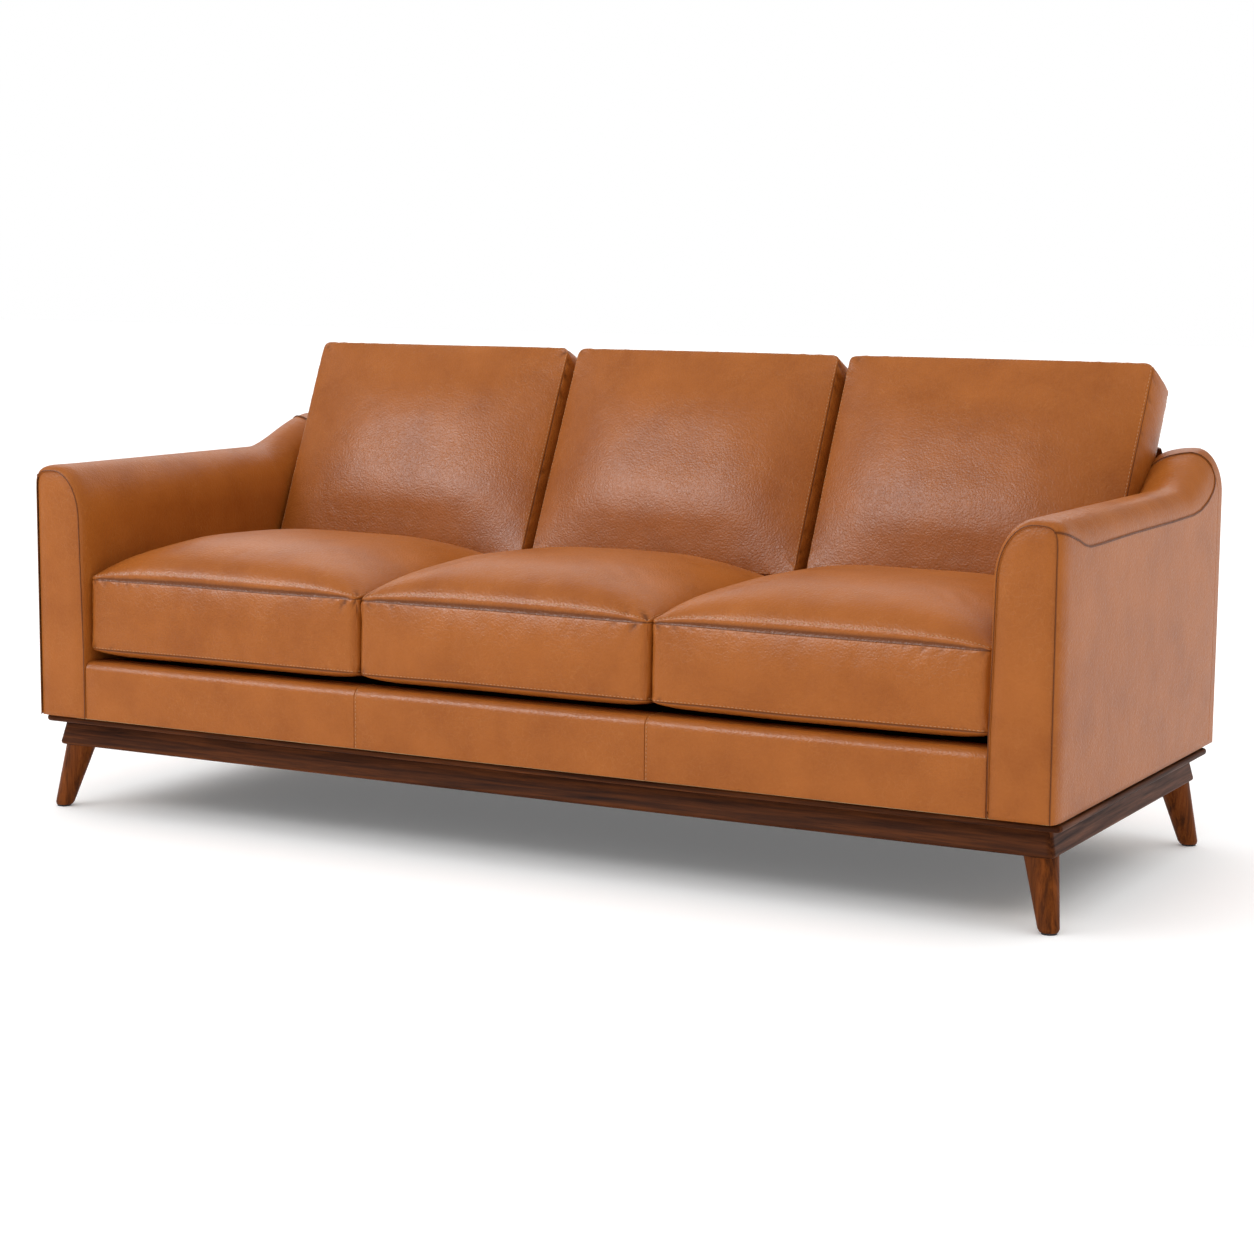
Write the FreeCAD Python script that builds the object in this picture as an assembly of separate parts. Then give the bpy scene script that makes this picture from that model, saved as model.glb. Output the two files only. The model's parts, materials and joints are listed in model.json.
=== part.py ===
import FreeCAD, Part
import math
import os

# Three-seat sofa on a wooden plinth with four splayed legs.
# Millimetres. X runs along the sofa, Y from its front to its back, Z up.
# While it is built, Y = 0 is the front of the arms and Z = 0 the floor; place_origin() then
# moves everything so that the origin is the bottom centre of the whole sofa.

V = FreeCAD.Vector

# ---------------------------------------------------------------- overall sizes
body_width = 2060.0            # over the two leather arms
body_depth = 882.0             # arm fronts to the outer back
arm_width = 116.0
arm_crown_z = 668.0            # top of the level part of an arm
back_top_z = 730.0             # top of the back frame's roll

# ---------------------------------------------------------------- legs and plinth
leg_height = 122.5
leg_top_radius = 29.0
leg_foot_radius = 18.0
leg_splay = 26.0               # how far a foot stands out from the leg's top, along X and along Y
leg_edge_margin = 3.5          # leg's top circle to the plinth's outer faces
foot_chamfer_height = 5.0
foot_chamfer = 2.5
glide_radius = 13.0
glide_height = 3.5
bolt_radius = 4.0
bolt_depth_in_leg = 45.0
bolt_depth_in_block = 34.0
bolt_clearance = 0.1

plinth_height = 47.0
plinth_board = 15.0            # thickness of a plinth board at its top
plinth_inset_top = 26.0        # from the lip's edge to the plinth's face at the top
plinth_inset_bottom = 16.0     # and at the bottom, where the face flares out
plinth_corner_radius = 12.0
plinth_edge_radius = 5.0
corner_block = 92.0

lip_thickness = 12.0
lip_board = 55.0
lip_corner_radius = 10.0
lip_edge_radius = 5.4
lip_side_margin = 3.0          # the lip stands this far proud of the leather at the sides
lip_front_setback = 22.0       # the leather stands this far proud of the lip in front
lip_back_setback = 50.0        # and this far at the back

# ---------------------------------------------------------------- upholstery
leather = 2.5
shadow_gap = 6.0               # between the lip and the lower edge of the leather
rail_cover_height = 109.0
rail_round = 18.0
rail_cover_depth = 60.0
rail_foam = 17.5
arm_foam = 22.0
arm_outer_padding = 11.0
arm_outer_round = 48.0         # half-width of the arm's roll on the outside
arm_inner_drop = 100.0         # height over which the inner side rolls into the top
arm_inner_drop_back = 24.0     # the same where the arm has met the back
arm_outer_drop = 52.0
piping = 6.0
arm_rise_start = 642.0         # where the arm's top starts to climb to the back
arm_rise_end = 850.0
outer_seam_z = 619.0           # seam between an arm's outer panel and its top
seam_climb_y = 838.0           # where that seam runs straight up at the back corner
back_foam = 20.0
back_roll_radius = 20.0
inside_back_recline = 20.0
back_setback = 8.0             # seat cushion's rear to the foot of the inside back

# ---------------------------------------------------------------- seat cushions
middle_seat_width = 594.0
seat_front_y = 11.0
seat_cushion_depth = 651.0
seat_border = 133.0            # between the top and bottom seams
seat_crown = 74.0
seat_shoulder = 12.0           # the crown starts this far above the side seams
seat_belly = 20.0
seat_belly_run = 45.0
overrun = 5.0                  # the crowned block is made this much larger, then cut to the plan
seat_corner_radius = 22.0
seat_pitch = 1.5
seat_rest_gap = 5.0            # rail cover to the belly of a cushion
cushion_gap = 1.5              # half the gap between neighbouring cushions, and to an arm
core_gap = 0.5

# ---------------------------------------------------------------- back cushions
middle_back_width = 600.0
back_front_y = 612.0           # lower front edge of a back cushion
back_cushion_height = 467.0
back_cushion_thickness = 115.0
back_cushion_crown = 42.0
back_cushion_top_crown = 8.0
back_cushion_recline = 25.4
back_corner_radius = 26.0
seat_to_back_gap = 6.0
frame_to_back_gap = 3.0

zip_length = 420.0
zip_width = 12.0
zip_thickness = 2.0

# ---------------------------------------------------------------- frame
rail_thickness = 25.0
rail_height = 92.0
post_depth = 60.0
board = 12.0
top_rail_height = 30.0
back_rail_height = 60.0
stretcher_thickness = 30.0
upright_width = 45.0
spring_count = 15
spring_wire = 3.5
spring_loop = 46.0
spring_step = 22.0
clip_length = 24.0
clip_width = 14.0
clip_height = 8.0
deck_drop = 7.0                # rail cover's top to the deck cloth
deck_cloth_thickness = 1.5
web_width = 50.0
web_thickness = 2.0
web_count = 4
dust_thickness = 1.0

# ---------------------------------------------------------------- values that follow
half_body = body_width / 2
arm_inner_x = half_body - arm_width
plinth_top_z = leg_height + plinth_height
lip_top_z = plinth_top_z + lip_thickness
skin_bottom_z = lip_top_z + shadow_gap
rail_cover_top_z = skin_bottom_z + rail_cover_height
half_lip = half_body + lip_side_margin
lip_front_y = lip_front_setback
lip_back_y = body_depth - lip_back_setback
seat_rear_y = seat_front_y + seat_cushion_depth
seat_bottom_z = rail_cover_top_z + seat_rest_gap
seat_seam_low_z = seat_bottom_z + seat_belly
seat_seam_z = seat_seam_low_z + seat_border
pitch_fall = seat_cushion_depth * math.tan(math.radians(seat_pitch))
rail_top_z = lip_top_z + rail_height
rail_front_y = leather + rail_foam
arm_frame_inner_x = arm_inner_x + leather + arm_foam
arm_frame_outer_x = half_body - leather - arm_outer_padding
post_inner_x = arm_frame_inner_x + board
post_outer_x = arm_frame_outer_x - board
back_rail_rear_y = body_depth - leather - board
inside_back_slope = math.tan(math.radians(inside_back_recline))
inside_back_foot_y = seat_rear_y + back_setback
deck_front_z = rail_cover_top_z - leather - deck_drop
frame_back_y = back_rail_rear_y - rail_thickness
top_rail_z = back_top_z - leather - back_foam - back_rail_height - core_gap

shapes = {}


def add(name, shape):
    """Keep one sub-part under its node's name."""
    shapes[name] = shape


def block(x0, x1, y0, y1, z0, z1):
    """Box between two corners."""
    return Part.makeBox(x1 - x0, y1 - y0, z1 - z0, V(x0, y0, z0))


def group(solids):
    """Separate solids that share one node."""
    return Part.makeCompound(solids)


def mirrored(shape):
    """The same piece on the other side of the sofa's middle."""
    return shape.mirror(V(0, 0, 0), V(1, 0, 0))


def both_sides(solid):
    """A solid and its mirror image as one node."""
    return group([solid, mirrored(solid)])


def outline(path, place):
    """Closed wire. A path entry is a point, or a pair (point on the arc, end of the arc)."""
    edges = []
    start = path[0]
    last = start
    for entry in list(path[1:]) + [start]:
        is_arc = isinstance(entry[0], tuple)
        end = entry[1] if is_arc else entry
        if is_arc:
            edges.append(Part.Arc(place(last), place(entry[0]), place(end)).toShape())
        elif end != last:
            edges.append(Part.LineSegment(place(last), place(end)).toShape())
        last = end
    return Part.Wire(edges)


def prism_yz(path, x0, x1):
    """Solid with a side view given in (y, z), from x0 to x1."""
    wire = outline(path, lambda p: V(x0, p[0], p[1]))
    return Part.Face(wire).extrude(V(x1 - x0, 0, 0))


def prism_xz(path, y0, y1):
    """Solid with a front view given in (x, z), from y0 to y1."""
    wire = outline(path, lambda p: V(p[0], y0, p[1]))
    return Part.Face(wire).extrude(V(0, y1 - y0, 0))


def rounded_rectangle(x0, x1, y0, y1, z, radius):
    """Closed wire of a rectangle with round corners, lying at height z."""
    k = radius * (1 - math.sqrt(0.5))
    path = [(x0 + radius, y0), (x1 - radius, y0), ((x1 - k, y0 + k), (x1, y0 + radius)),
            (x1, y1 - radius), ((x1 - k, y1 - k), (x1 - radius, y1)),
            (x0 + radius, y1), ((x0 + k, y1 - k), (x0, y1 - radius)),
            (x0, y0 + radius), ((x0 + k, y0 + k), (x0 + radius, y0))]
    return outline(path, lambda p: V(p[0], p[1], z))


# ---------------------------------------------------------------- base
def mitre_wedges():
    """The four regions that a mitred frame's boards lie in, seen from above."""
    reach = plinth_height + plinth_board + lip_board + 2 * lip_edge_radius
    x = half_lip + lip_edge_radius
    y0 = lip_front_y - lip_edge_radius
    y1 = lip_back_y + lip_edge_radius
    low = leg_height - lip_thickness
    high = lip_top_z + lip_thickness
    corners = {
        "front": [(-x, y0), (x, y0), (x - reach, y0 + reach), (-x + reach, y0 + reach)],
        "back": [(-x, y1), (-x + reach, y1 - reach), (x - reach, y1 - reach), (x, y1)],
        "left": [(-x, y0), (-x + reach, y0 + reach), (-x + reach, y1 - reach), (-x, y1)],
        "right": [(x, y0), (x, y1), (x - reach, y1 - reach), (x - reach, y0 + reach)],
    }
    wedges = {}
    for side, points in corners.items():
        wire = outline(points, lambda p: V(p[0], p[1], low))
        wedges[side] = Part.Face(wire).extrude(V(0, 0, high - low))
    return wedges


def make_lip(wedges):
    """Thin board with a round edge, mitred at its four corners."""
    slab = Part.Face(rounded_rectangle(-half_lip, half_lip, lip_front_y, lip_back_y, plinth_top_z,
                                       lip_corner_radius)).extrude(V(0, 0, lip_thickness))
    rims = [e for e in slab.Edges if abs(e.BoundBox.ZMax - e.BoundBox.ZMin) < 0.01]
    slab = slab.makeFillet(lip_edge_radius, rims)
    hole = block(-half_lip + lip_board, half_lip - lip_board, lip_front_y + lip_board,
                 lip_back_y - lip_board, plinth_top_z - 1, lip_top_z + 1)
    ring = slab.cut(hole)
    for side, wedge in wedges.items():
        add("lip_" + side, ring.common(wedge))


def make_plinth(wedges):
    """Flared boards under the lip, with round corners and a round lower edge."""
    def rim(inset, z):
        return rounded_rectangle(-half_lip + inset, half_lip - inset, lip_front_y + inset,
                                 lip_back_y - inset, z, plinth_corner_radius)

    body = Part.makeLoft([rim(plinth_inset_bottom, leg_height), rim(plinth_inset_top, plinth_top_z)],
                         True, True)
    low = [e for e in body.Edges if e.BoundBox.ZMax < leg_height + 0.01]
    body = body.makeFillet(plinth_edge_radius, low)
    inset = plinth_inset_top + plinth_board
    hole = block(-half_lip + inset, half_lip - inset, lip_front_y + inset, lip_back_y - inset,
                 leg_height - 1, plinth_top_z + 1)
    ring = body.cut(hole)
    for side, wedge in wedges.items():
        add("plinth_" + side, ring.common(wedge))


def leg_places():
    """Name, X and Y signs, and the top centre of each leg."""
    x = half_lip - plinth_inset_bottom - leg_edge_margin - leg_top_radius
    front = lip_front_y + plinth_inset_bottom + leg_edge_margin + leg_top_radius
    back = lip_back_y - plinth_inset_bottom - leg_edge_margin - leg_top_radius
    return [("front_left", -1, -1, -x, front), ("front_right", 1, -1, x, front),
            ("back_left", -1, 1, -x, back), ("back_right", 1, 1, x, back)]


def leg_solid(top, foot):
    """Round tapered leg with level ends and a chamfered foot."""
    def ring(z, radius):
        t = (leg_height - z) / leg_height
        centre = top + (foot - top) * t
        return Part.Wire(Part.makeCircle(radius, V(centre.x, centre.y, z)))

    knee = glide_height + foot_chamfer_height
    rings = [ring(glide_height, leg_foot_radius - foot_chamfer), ring(knee, leg_foot_radius),
             ring(leg_height, leg_top_radius)]
    return Part.makeLoft(rings, True, True)


def make_legs():
    """Legs, their glides, the hanger bolts along the legs' axes, and the corner blocks."""
    glides = []
    bolts = []
    blocks = []
    edge = plinth_inset_top + plinth_board
    for name, sx, sy, x, y in leg_places():
        top = V(x, y, leg_height)
        foot = V(x + sx * leg_splay, y + sy * leg_splay, 0)
        lean = (top - foot).normalize()
        low = top - lean * bolt_depth_in_leg
        length = bolt_depth_in_leg + bolt_depth_in_block
        bolt = Part.makeCylinder(bolt_radius, length, low, lean)
        bore = Part.makeCylinder(bolt_radius + bolt_clearance, length + 1, low - lean * 0.5, lean)
        add("leg_" + name, leg_solid(top, foot).cut(bore))
        glides.append(Part.makeCylinder(glide_radius, glide_height, V(foot.x, foot.y, 0)))
        bolts.append(bolt)
        x_edge = sx * (half_lip - edge)
        y_edge = lip_front_y + edge if sy < 0 else lip_back_y - edge
        x0, x1 = sorted((x_edge, x_edge - sx * corner_block))
        y0, y1 = sorted((y_edge, y_edge - sy * corner_block))
        blocks.append(block(x0, x1, y0, y1, leg_height, plinth_top_z).cut(bore))
    add("leg_glides", group(glides))
    add("leg_bolts", group(bolts))
    add("corner_blocks", group(blocks))


# ---------------------------------------------------------------- arms
def arm_climb(y):
    """How far the arm's top has climbed to the back at y: 0, then an easy S-curve to 1."""
    t = min(max((y - arm_rise_start) / (arm_rise_end - arm_rise_start), 0.0), 1.0)
    return t * t * (3 - 2 * t)


def arm_section(inset, y, bottom_z):
    """Closed wire of the right arm's section at y, inset all round but at the bottom."""
    x_in = arm_inner_x + inset
    x_out = half_body - inset
    climb = arm_climb(y)
    top = arm_crown_z + (back_top_z - arm_crown_z) * climb - inset
    x_crown = half_body - arm_outer_round
    inner_low = top - arm_inner_drop + (arm_inner_drop - arm_inner_drop_back) * climb + inset
    outer_low = top - arm_outer_drop + inset
    bend = math.sqrt(0.5)
    inner_mid = (x_crown - (x_crown - x_in) * bend, inner_low + (top - inner_low) * bend)
    outer_mid = (x_crown + (x_out - x_crown) * bend, outer_low + (top - outer_low) * bend)
    path = [(x_in, bottom_z), (x_in, inner_low), (inner_mid, (x_crown, top)),
            (outer_mid, (x_out, outer_low)), (x_out, bottom_z)]
    return outline(path, lambda p: V(p[0], y, p[1]))


def arm_body(inset, y0, y1, bottom_z):
    """Solid arm between y0 and y1, smaller by inset."""
    stations = [y0]
    steps = 7
    for i in range(steps + 1):
        y = arm_rise_start + (arm_rise_end - arm_rise_start) * i / steps
        if y0 < y < y1:
            stations.append(y)
    stations.append(y1)
    return Part.makeLoft([arm_section(inset, y, bottom_z) for y in stations], True, True)


def outer_panel_region():
    """Space on the arm's outside below the long seam, which climbs at the back corner."""
    knee = seam_climb_y - 70.0
    lift = outer_seam_z + 62.0
    bend = (knee + 70.0 * math.sin(math.radians(45)), lift - 62.0 * math.cos(math.radians(45)))
    path = [(-1.0, 0.0), (-1.0, outer_seam_z), (knee, outer_seam_z), (bend, (seam_climb_y, lift)),
            (seam_climb_y, back_top_z + 10), (body_depth + 1, back_top_z + 10), (body_depth + 1, 0.0)]
    return prism_yz(path, half_body - arm_outer_round * 0.55, half_body + 1)


def rail_passages():
    """Room where the frame's long rails run through the inner side of an arm."""
    low = (0, rail_top_z + core_gap)
    high = (top_rail_z - core_gap, top_rail_z + back_rail_height + core_gap)
    places = [(rail_front_y, rail_front_y + rail_thickness) + low,
              (frame_back_y, back_rail_rear_y) + low, (frame_back_y, back_rail_rear_y) + high]
    return [block(arm_inner_x - 1, post_inner_x + core_gap, y0 - core_gap, y1 + core_gap, z0, z1)
            for y0, y1, z0, z1 in places]


def make_arms():
    """Leather panels, piping and foam of each arm."""
    front = piping
    outer = arm_body(0, front, body_depth, skin_bottom_z)
    lining = arm_body(leather, front - 1, body_depth - leather, skin_bottom_z - 1)
    shell = outer.cut(lining)
    region = outer_panel_region()
    outer_cover = shell.common(region)
    top_cover = shell.cut(region)
    edge = arm_body(0, 0, front, skin_bottom_z)
    face = arm_body(piping, -1, front + 1, skin_bottom_z - 1)
    bead = edge.cut(face)
    panel = arm_body(piping, 0, leather, skin_bottom_z)
    pad = arm_body(leather + core_gap, front, body_depth - leather - core_gap, skin_bottom_z)
    pad_front = arm_body(piping + core_gap, leather + core_gap, front, skin_bottom_z)
    room_z = arm_crown_z - leather - arm_foam
    room_front = block(arm_frame_inner_x, arm_frame_outer_x, rail_front_y, body_depth,
                       0, room_z)
    room_back = block(arm_frame_inner_x, arm_frame_outer_x, arm_rise_end - post_depth - board,
                      body_depth, 0, back_top_z - leather - arm_foam)
    foam = pad.fuse(pad_front).cut(room_front.fuse(room_back))
    for passage in rail_passages():
        top_cover = top_cover.cut(passage)
        foam = foam.cut(passage)
    for side, turn in (("right", lambda s: s), ("left", mirrored)):
        add("arm_top_cover_" + side, turn(top_cover))
        add("arm_outer_cover_" + side, turn(outer_cover))
        add("arm_front_cover_" + side, turn(panel))
        add("arm_foam_" + side, turn(foam))
    add("arm_piping", both_sides(bead))


# ---------------------------------------------------------------- front rail
def rail_profile(inset, z0, depth):
    """Side view of the padded front rail, inset from the leather's outside."""
    top = rail_cover_top_z - inset
    radius = rail_round - inset
    k = radius * (1 - math.sqrt(0.5))
    return [(inset, z0), (inset, top - radius), ((inset + k, top - k), (inset + radius, top)),
            (depth, top), (depth, z0)]


def make_front_rail():
    """Three sewn leather panels, the foam behind them and the hardwood rail."""
    seam = middle_seat_width / 2
    skin = prism_yz(rail_profile(0, skin_bottom_z, rail_cover_depth), -arm_inner_x, arm_inner_x)
    lining = prism_yz(rail_profile(leather, skin_bottom_z - 1, rail_cover_depth + 1),
                      -arm_inner_x - 1, arm_inner_x + 1)
    shell = skin.cut(lining)
    cuts = [(-arm_inner_x, -seam), (-seam, seam), (seam, arm_inner_x)]
    panels = [shell.common(block(a, b, -1, rail_cover_depth + 1, 0, rail_cover_top_z + 1))
              for a, b in cuts]
    add("front_rail_cover", group(panels))
    foam = prism_yz(rail_profile(leather + core_gap, skin_bottom_z, rail_front_y + rail_thickness),
                    -arm_inner_x, arm_inner_x)
    wood = block(-half_body, half_body, rail_front_y, body_depth, 0, rail_top_z)
    add("front_rail_foam", foam.cut(wood))
    add("front_rail", block(-post_inner_x, post_inner_x, rail_front_y,
                            rail_front_y + rail_thickness, lip_top_z, rail_top_z))


# ---------------------------------------------------------------- back
def inside_back_y(z, inset):
    """Y of the sloping inside back at height z, inset towards the frame."""
    shift = inset / math.cos(math.radians(inside_back_recline))
    return inside_back_foot_y + (z - rail_cover_top_z) * inside_back_slope + shift


def back_profile(inset, z0):
    """Side view of the back: sloping front, round top, upright rear."""
    top = back_top_z - inset
    rear = body_depth - inset
    radius = max(back_roll_radius - inset, leather)
    k = radius * (1 - math.sqrt(0.5))
    brow = top - radius
    brow_y = inside_back_y(brow, inset)
    return [(inside_back_y(z0, inset), z0), (brow_y, brow),
            ((brow_y + radius * 0.42, top - k * 0.75), (brow_y + radius * 1.1, top)),
            (rear - radius, top), ((rear - k, top - k), (rear, brow)), (rear, z0)]


def make_back():
    """Inside back and its foam, outer back, and the back's webbing."""
    low = deck_front_z
    x = arm_inner_x
    skin = prism_yz(back_profile(0, low), -x, x)
    lining = prism_yz(back_profile(leather, low - 1), -x - 1, x + 1)
    behind = block(-x - 1, x + 1, body_depth - leather - core_gap, body_depth + 1, 0,
                   back_top_z - back_roll_radius)
    add("inside_back_cover", skin.cut(lining).cut(behind))
    add("outer_back_cover", block(-x, x, body_depth - leather, body_depth, skin_bottom_z,
                                  back_top_z - back_roll_radius))
    pad = prism_yz(back_profile(leather + core_gap, low), -x, x)
    hollow = prism_yz(back_profile(leather + back_foam, low - 1), -x - 1, x + 1)
    rear = block(-x - 1, x + 1, frame_back_y - core_gap, body_depth + 1, 0,
                 top_rail_z + back_rail_height + core_gap)
    add("back_foam", pad.cut(hollow).cut(rear))
    low_z = rail_top_z + back_rail_height
    high_z = top_rail_z
    webs = []
    for i in range(web_count):
        z = low_z + (high_z - low_z) * (i + 0.5) / web_count
        y = inside_back_y(z, leather + back_foam + core_gap) + web_width / 2 * inside_back_slope
        web = block(-x + 2, x - 2, 0, web_thickness, -web_width / 2, web_width / 2)
        web.rotate(V(0, 0, 0), V(1, 0, 0), -inside_back_recline)
        web.translate(V(0, y, z))
        webs.append(web)
    add("back_webbing", group(webs))


# ---------------------------------------------------------------- wooden frame
def make_frame():
    """Rails, posts, boards and stretchers under the upholstery."""
    y0 = rail_front_y + rail_thickness
    y1 = frame_back_y
    add("back_rail", block(-post_inner_x, post_inner_x, y1, back_rail_rear_y, lip_top_z, rail_top_z))
    side = block(post_inner_x, post_outer_x, rail_front_y + post_depth,
                 back_rail_rear_y - post_depth, lip_top_z, rail_top_z)
    add("side_rails", both_sides(side))
    third = middle_seat_width / 2
    stretchers = []
    for x in (-third, third):
        stretchers.append(block(x - stretcher_thickness / 2, x + stretcher_thickness / 2, y0, y1,
                                lip_top_z + dust_thickness, rail_top_z - rail_height / 3))
    add("seat_stretchers", group(stretchers))
    post_top = arm_crown_z - leather - arm_foam - top_rail_height - board
    corner_top = back_top_z - leather - arm_foam - board
    front_post = block(post_inner_x, post_outer_x, rail_front_y, rail_front_y + post_depth,
                       lip_top_z, post_top)
    back_post = block(post_inner_x, post_outer_x, back_rail_rear_y - post_depth, back_rail_rear_y,
                      lip_top_z, corner_top)
    uprights = []
    for x in (-third, third):
        uprights.append(block(x - upright_width / 2, x + upright_width / 2, frame_back_y,
                              back_rail_rear_y, rail_top_z, top_rail_z))
    add("frame_posts", group([front_post, mirrored(front_post), back_post, mirrored(back_post)]
                             + uprights))
    add("back_top_rail", block(-post_inner_x, post_inner_x, frame_back_y, back_rail_rear_y,
                               top_rail_z, top_rail_z + back_rail_height))
    arm_rail = block(post_inner_x, post_outer_x, rail_front_y, back_rail_rear_y - post_depth,
                     post_top, post_top + top_rail_height)
    add("arm_top_rails", both_sides(arm_rail))
    inner = block(arm_frame_inner_x, post_inner_x, rail_front_y, back_rail_rear_y,
                  lip_top_z + rail_height, post_top + top_rail_height)
    outer = block(post_outer_x, arm_frame_outer_x, rail_front_y, back_rail_rear_y, lip_top_z,
                  post_top + top_rail_height)
    add("arm_boards", group([inner, mirrored(inner), outer, mirrored(outer)]))
    add("dust_cover", block(-post_inner_x, post_inner_x, y0, y1, lip_top_z,
                            lip_top_z + dust_thickness))


def spring_solid(x, y0, y1):
    """Zigzag seat spring from the front rail to the back, as a flat strip of wire."""
    count = int((y1 - y0) // spring_step)
    step = (y1 - y0) / count
    half = spring_loop / 2
    track = []
    for i in range(count + 1):
        side = half if i % 2 else -half
        track.append((x - side, y0 + i * step))
        track.append((x + side, y0 + i * step))
    normals = []
    for (ax, ay), (bx, by) in zip(track, track[1:]):
        run = math.hypot(bx - ax, by - ay)
        normals.append(((ay - by) / run, (bx - ax) / run))
    reach = spring_wire / 2
    one_side = []
    other_side = []
    for i, (px, py) in enumerate(track):
        before = normals[max(i - 1, 0)]
        after = normals[min(i, len(normals) - 1)]
        square = 0.5 if before == after else 1.0
        ox = reach * (before[0] + after[0]) * square
        oy = reach * (before[1] + after[1]) * square
        one_side.append((px + ox, py + oy))
        other_side.append((px - ox, py - oy))
    path = one_side + other_side[::-1]
    wire = outline(path, lambda p: V(p[0], p[1], 0))
    return Part.Face(wire).extrude(V(0, 0, spring_wire))


def make_springs():
    """Zigzag springs, their clips on both rails, and the deck cloth over them."""
    drop = deck_front_z - spring_wire - 1
    front = rail_front_y + rail_thickness
    back = frame_back_y - clip_length
    y0 = front + clip_length + spring_wire / 2 + core_gap
    y1 = back - spring_wire / 2 - core_gap
    fall = math.tan(math.radians(seat_pitch))
    springs = []
    clips = []
    pitch = 2 * arm_inner_x / spring_count
    for i in range(spring_count):
        x = -arm_inner_x + pitch * (i + 0.5)
        spring = spring_solid(x, y0, y1)
        spring.rotate(V(0, y0, 0), V(1, 0, 0), -seat_pitch)
        spring.translate(V(0, 0, drop))
        springs.append(spring)
        for y, reach in ((front, 0), (back, y1 - y0)):
            z = drop - fall * reach - clip_height / 2
            clips.append(block(x - clip_width / 2 - spring_loop / 2, x + clip_width / 2
                               - spring_loop / 2, y, y + clip_length, z, z + clip_height))
    add("seat_springs", group(springs))
    add("spring_clips", group(clips))
    deck = block(-arm_inner_x, arm_inner_x, 0, inside_back_y(deck_front_z - pitch_fall, 0)
                 - rail_cover_depth - 2 * core_gap, 0, deck_cloth_thickness)
    deck.rotate(V(0, 0, 0), V(1, 0, 0), -seat_pitch)
    deck.translate(V(0, rail_cover_depth + core_gap, deck_front_z))
    add("deck_cloth", deck)


# ---------------------------------------------------------------- cushions
def seat_bounds():
    """Name and X bounds of the three seat cushions."""
    middle = middle_seat_width / 2
    return [("left", -arm_inner_x + cushion_gap, -middle - cushion_gap),
            ("middle", -middle + cushion_gap, middle - cushion_gap),
            ("right", middle + cushion_gap, arm_inner_x - cushion_gap)]


def seat_side_profile(inset):
    """Side view of a seat cushion: upright border, crowned top, belly at the front."""
    front = seat_front_y + inset - overrun
    rear = seat_rear_y - inset + overrun
    top = seat_seam_z - inset - overrun * 4 * seat_crown / seat_cushion_depth
    low = seat_seam_low_z + inset + overrun * seat_belly / seat_belly_run
    bottom = seat_bottom_z + inset
    run = seat_belly_run + overrun
    crest = ((front + rear) / 2, seat_seam_z - inset + seat_crown - pitch_fall / 2)
    return [(front, low), (front, top), (crest, (rear, top - pitch_fall)),
            (rear, low - pitch_fall), (rear - run, bottom - pitch_fall), (front + run, bottom)]


def seat_solid(x0, x1, inset):
    """Seat cushion between x0 and x1, crowned along both directions."""
    a = x0 + inset
    b = x1 - inset
    side = prism_yz(seat_side_profile(inset), a - overrun, b + overrun)
    top = seat_seam_z - inset
    left = (a - overrun, top + seat_shoulder)
    right = (b + overrun, top + seat_shoulder)
    path = [(left[0], 0), left, (((a + b) / 2, top + seat_crown), right), (right[0], 0)]
    front = prism_xz(path, seat_front_y - overrun, seat_rear_y + overrun)
    plan = Part.Face(rounded_rectangle(a, b, seat_front_y + inset, seat_rear_y - inset, 0,
                                       seat_corner_radius - inset))
    return side.common(front).common(plan.extrude(V(0, 0, top + 2 * seat_crown)))


def make_seat_cushions():
    """Cover, foam core and zip of each seat cushion."""
    for name, x0, x1 in seat_bounds():
        cavity = seat_solid(x0, x1, leather)
        add("seat_cushion_cover_" + name, seat_solid(x0, x1, 0).cut(cavity))
        add("seat_cushion_core_" + name, seat_solid(x0, x1, leather + core_gap))
        middle = (x0 + x1) / 2
        z = (seat_seam_z + seat_seam_low_z) / 2 - pitch_fall
        add("seat_cushion_zip_" + name,
            block(middle - zip_length / 2, middle + zip_length / 2, seat_rear_y,
                  seat_rear_y + zip_thickness, z - zip_width / 2, z + zip_width / 2))


def back_bounds():
    """Name and X bounds of the three back cushions."""
    middle = middle_back_width / 2
    return [("left", -arm_inner_x + cushion_gap, -middle - cushion_gap),
            ("middle", -middle + cushion_gap, middle - cushion_gap),
            ("right", middle + cushion_gap, arm_inner_x - cushion_gap)]


def seat_top_at(y):
    """Height of the seat cushions' crown at y."""
    t = (y - seat_front_y) / seat_cushion_depth
    return seat_seam_z - pitch_fall * t + seat_crown * 4 * t * (1 - t)


def lean_back(shape):
    """Put a shape built upright at the origin on its place on the seat, leaning back."""
    shape.rotate(V(0, 0, 0), V(1, 0, 0), -back_cushion_recline)
    shape.translate(V(0, back_front_y, seat_top_at(back_front_y) + 2 * seat_to_back_gap))
    return shape


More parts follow.
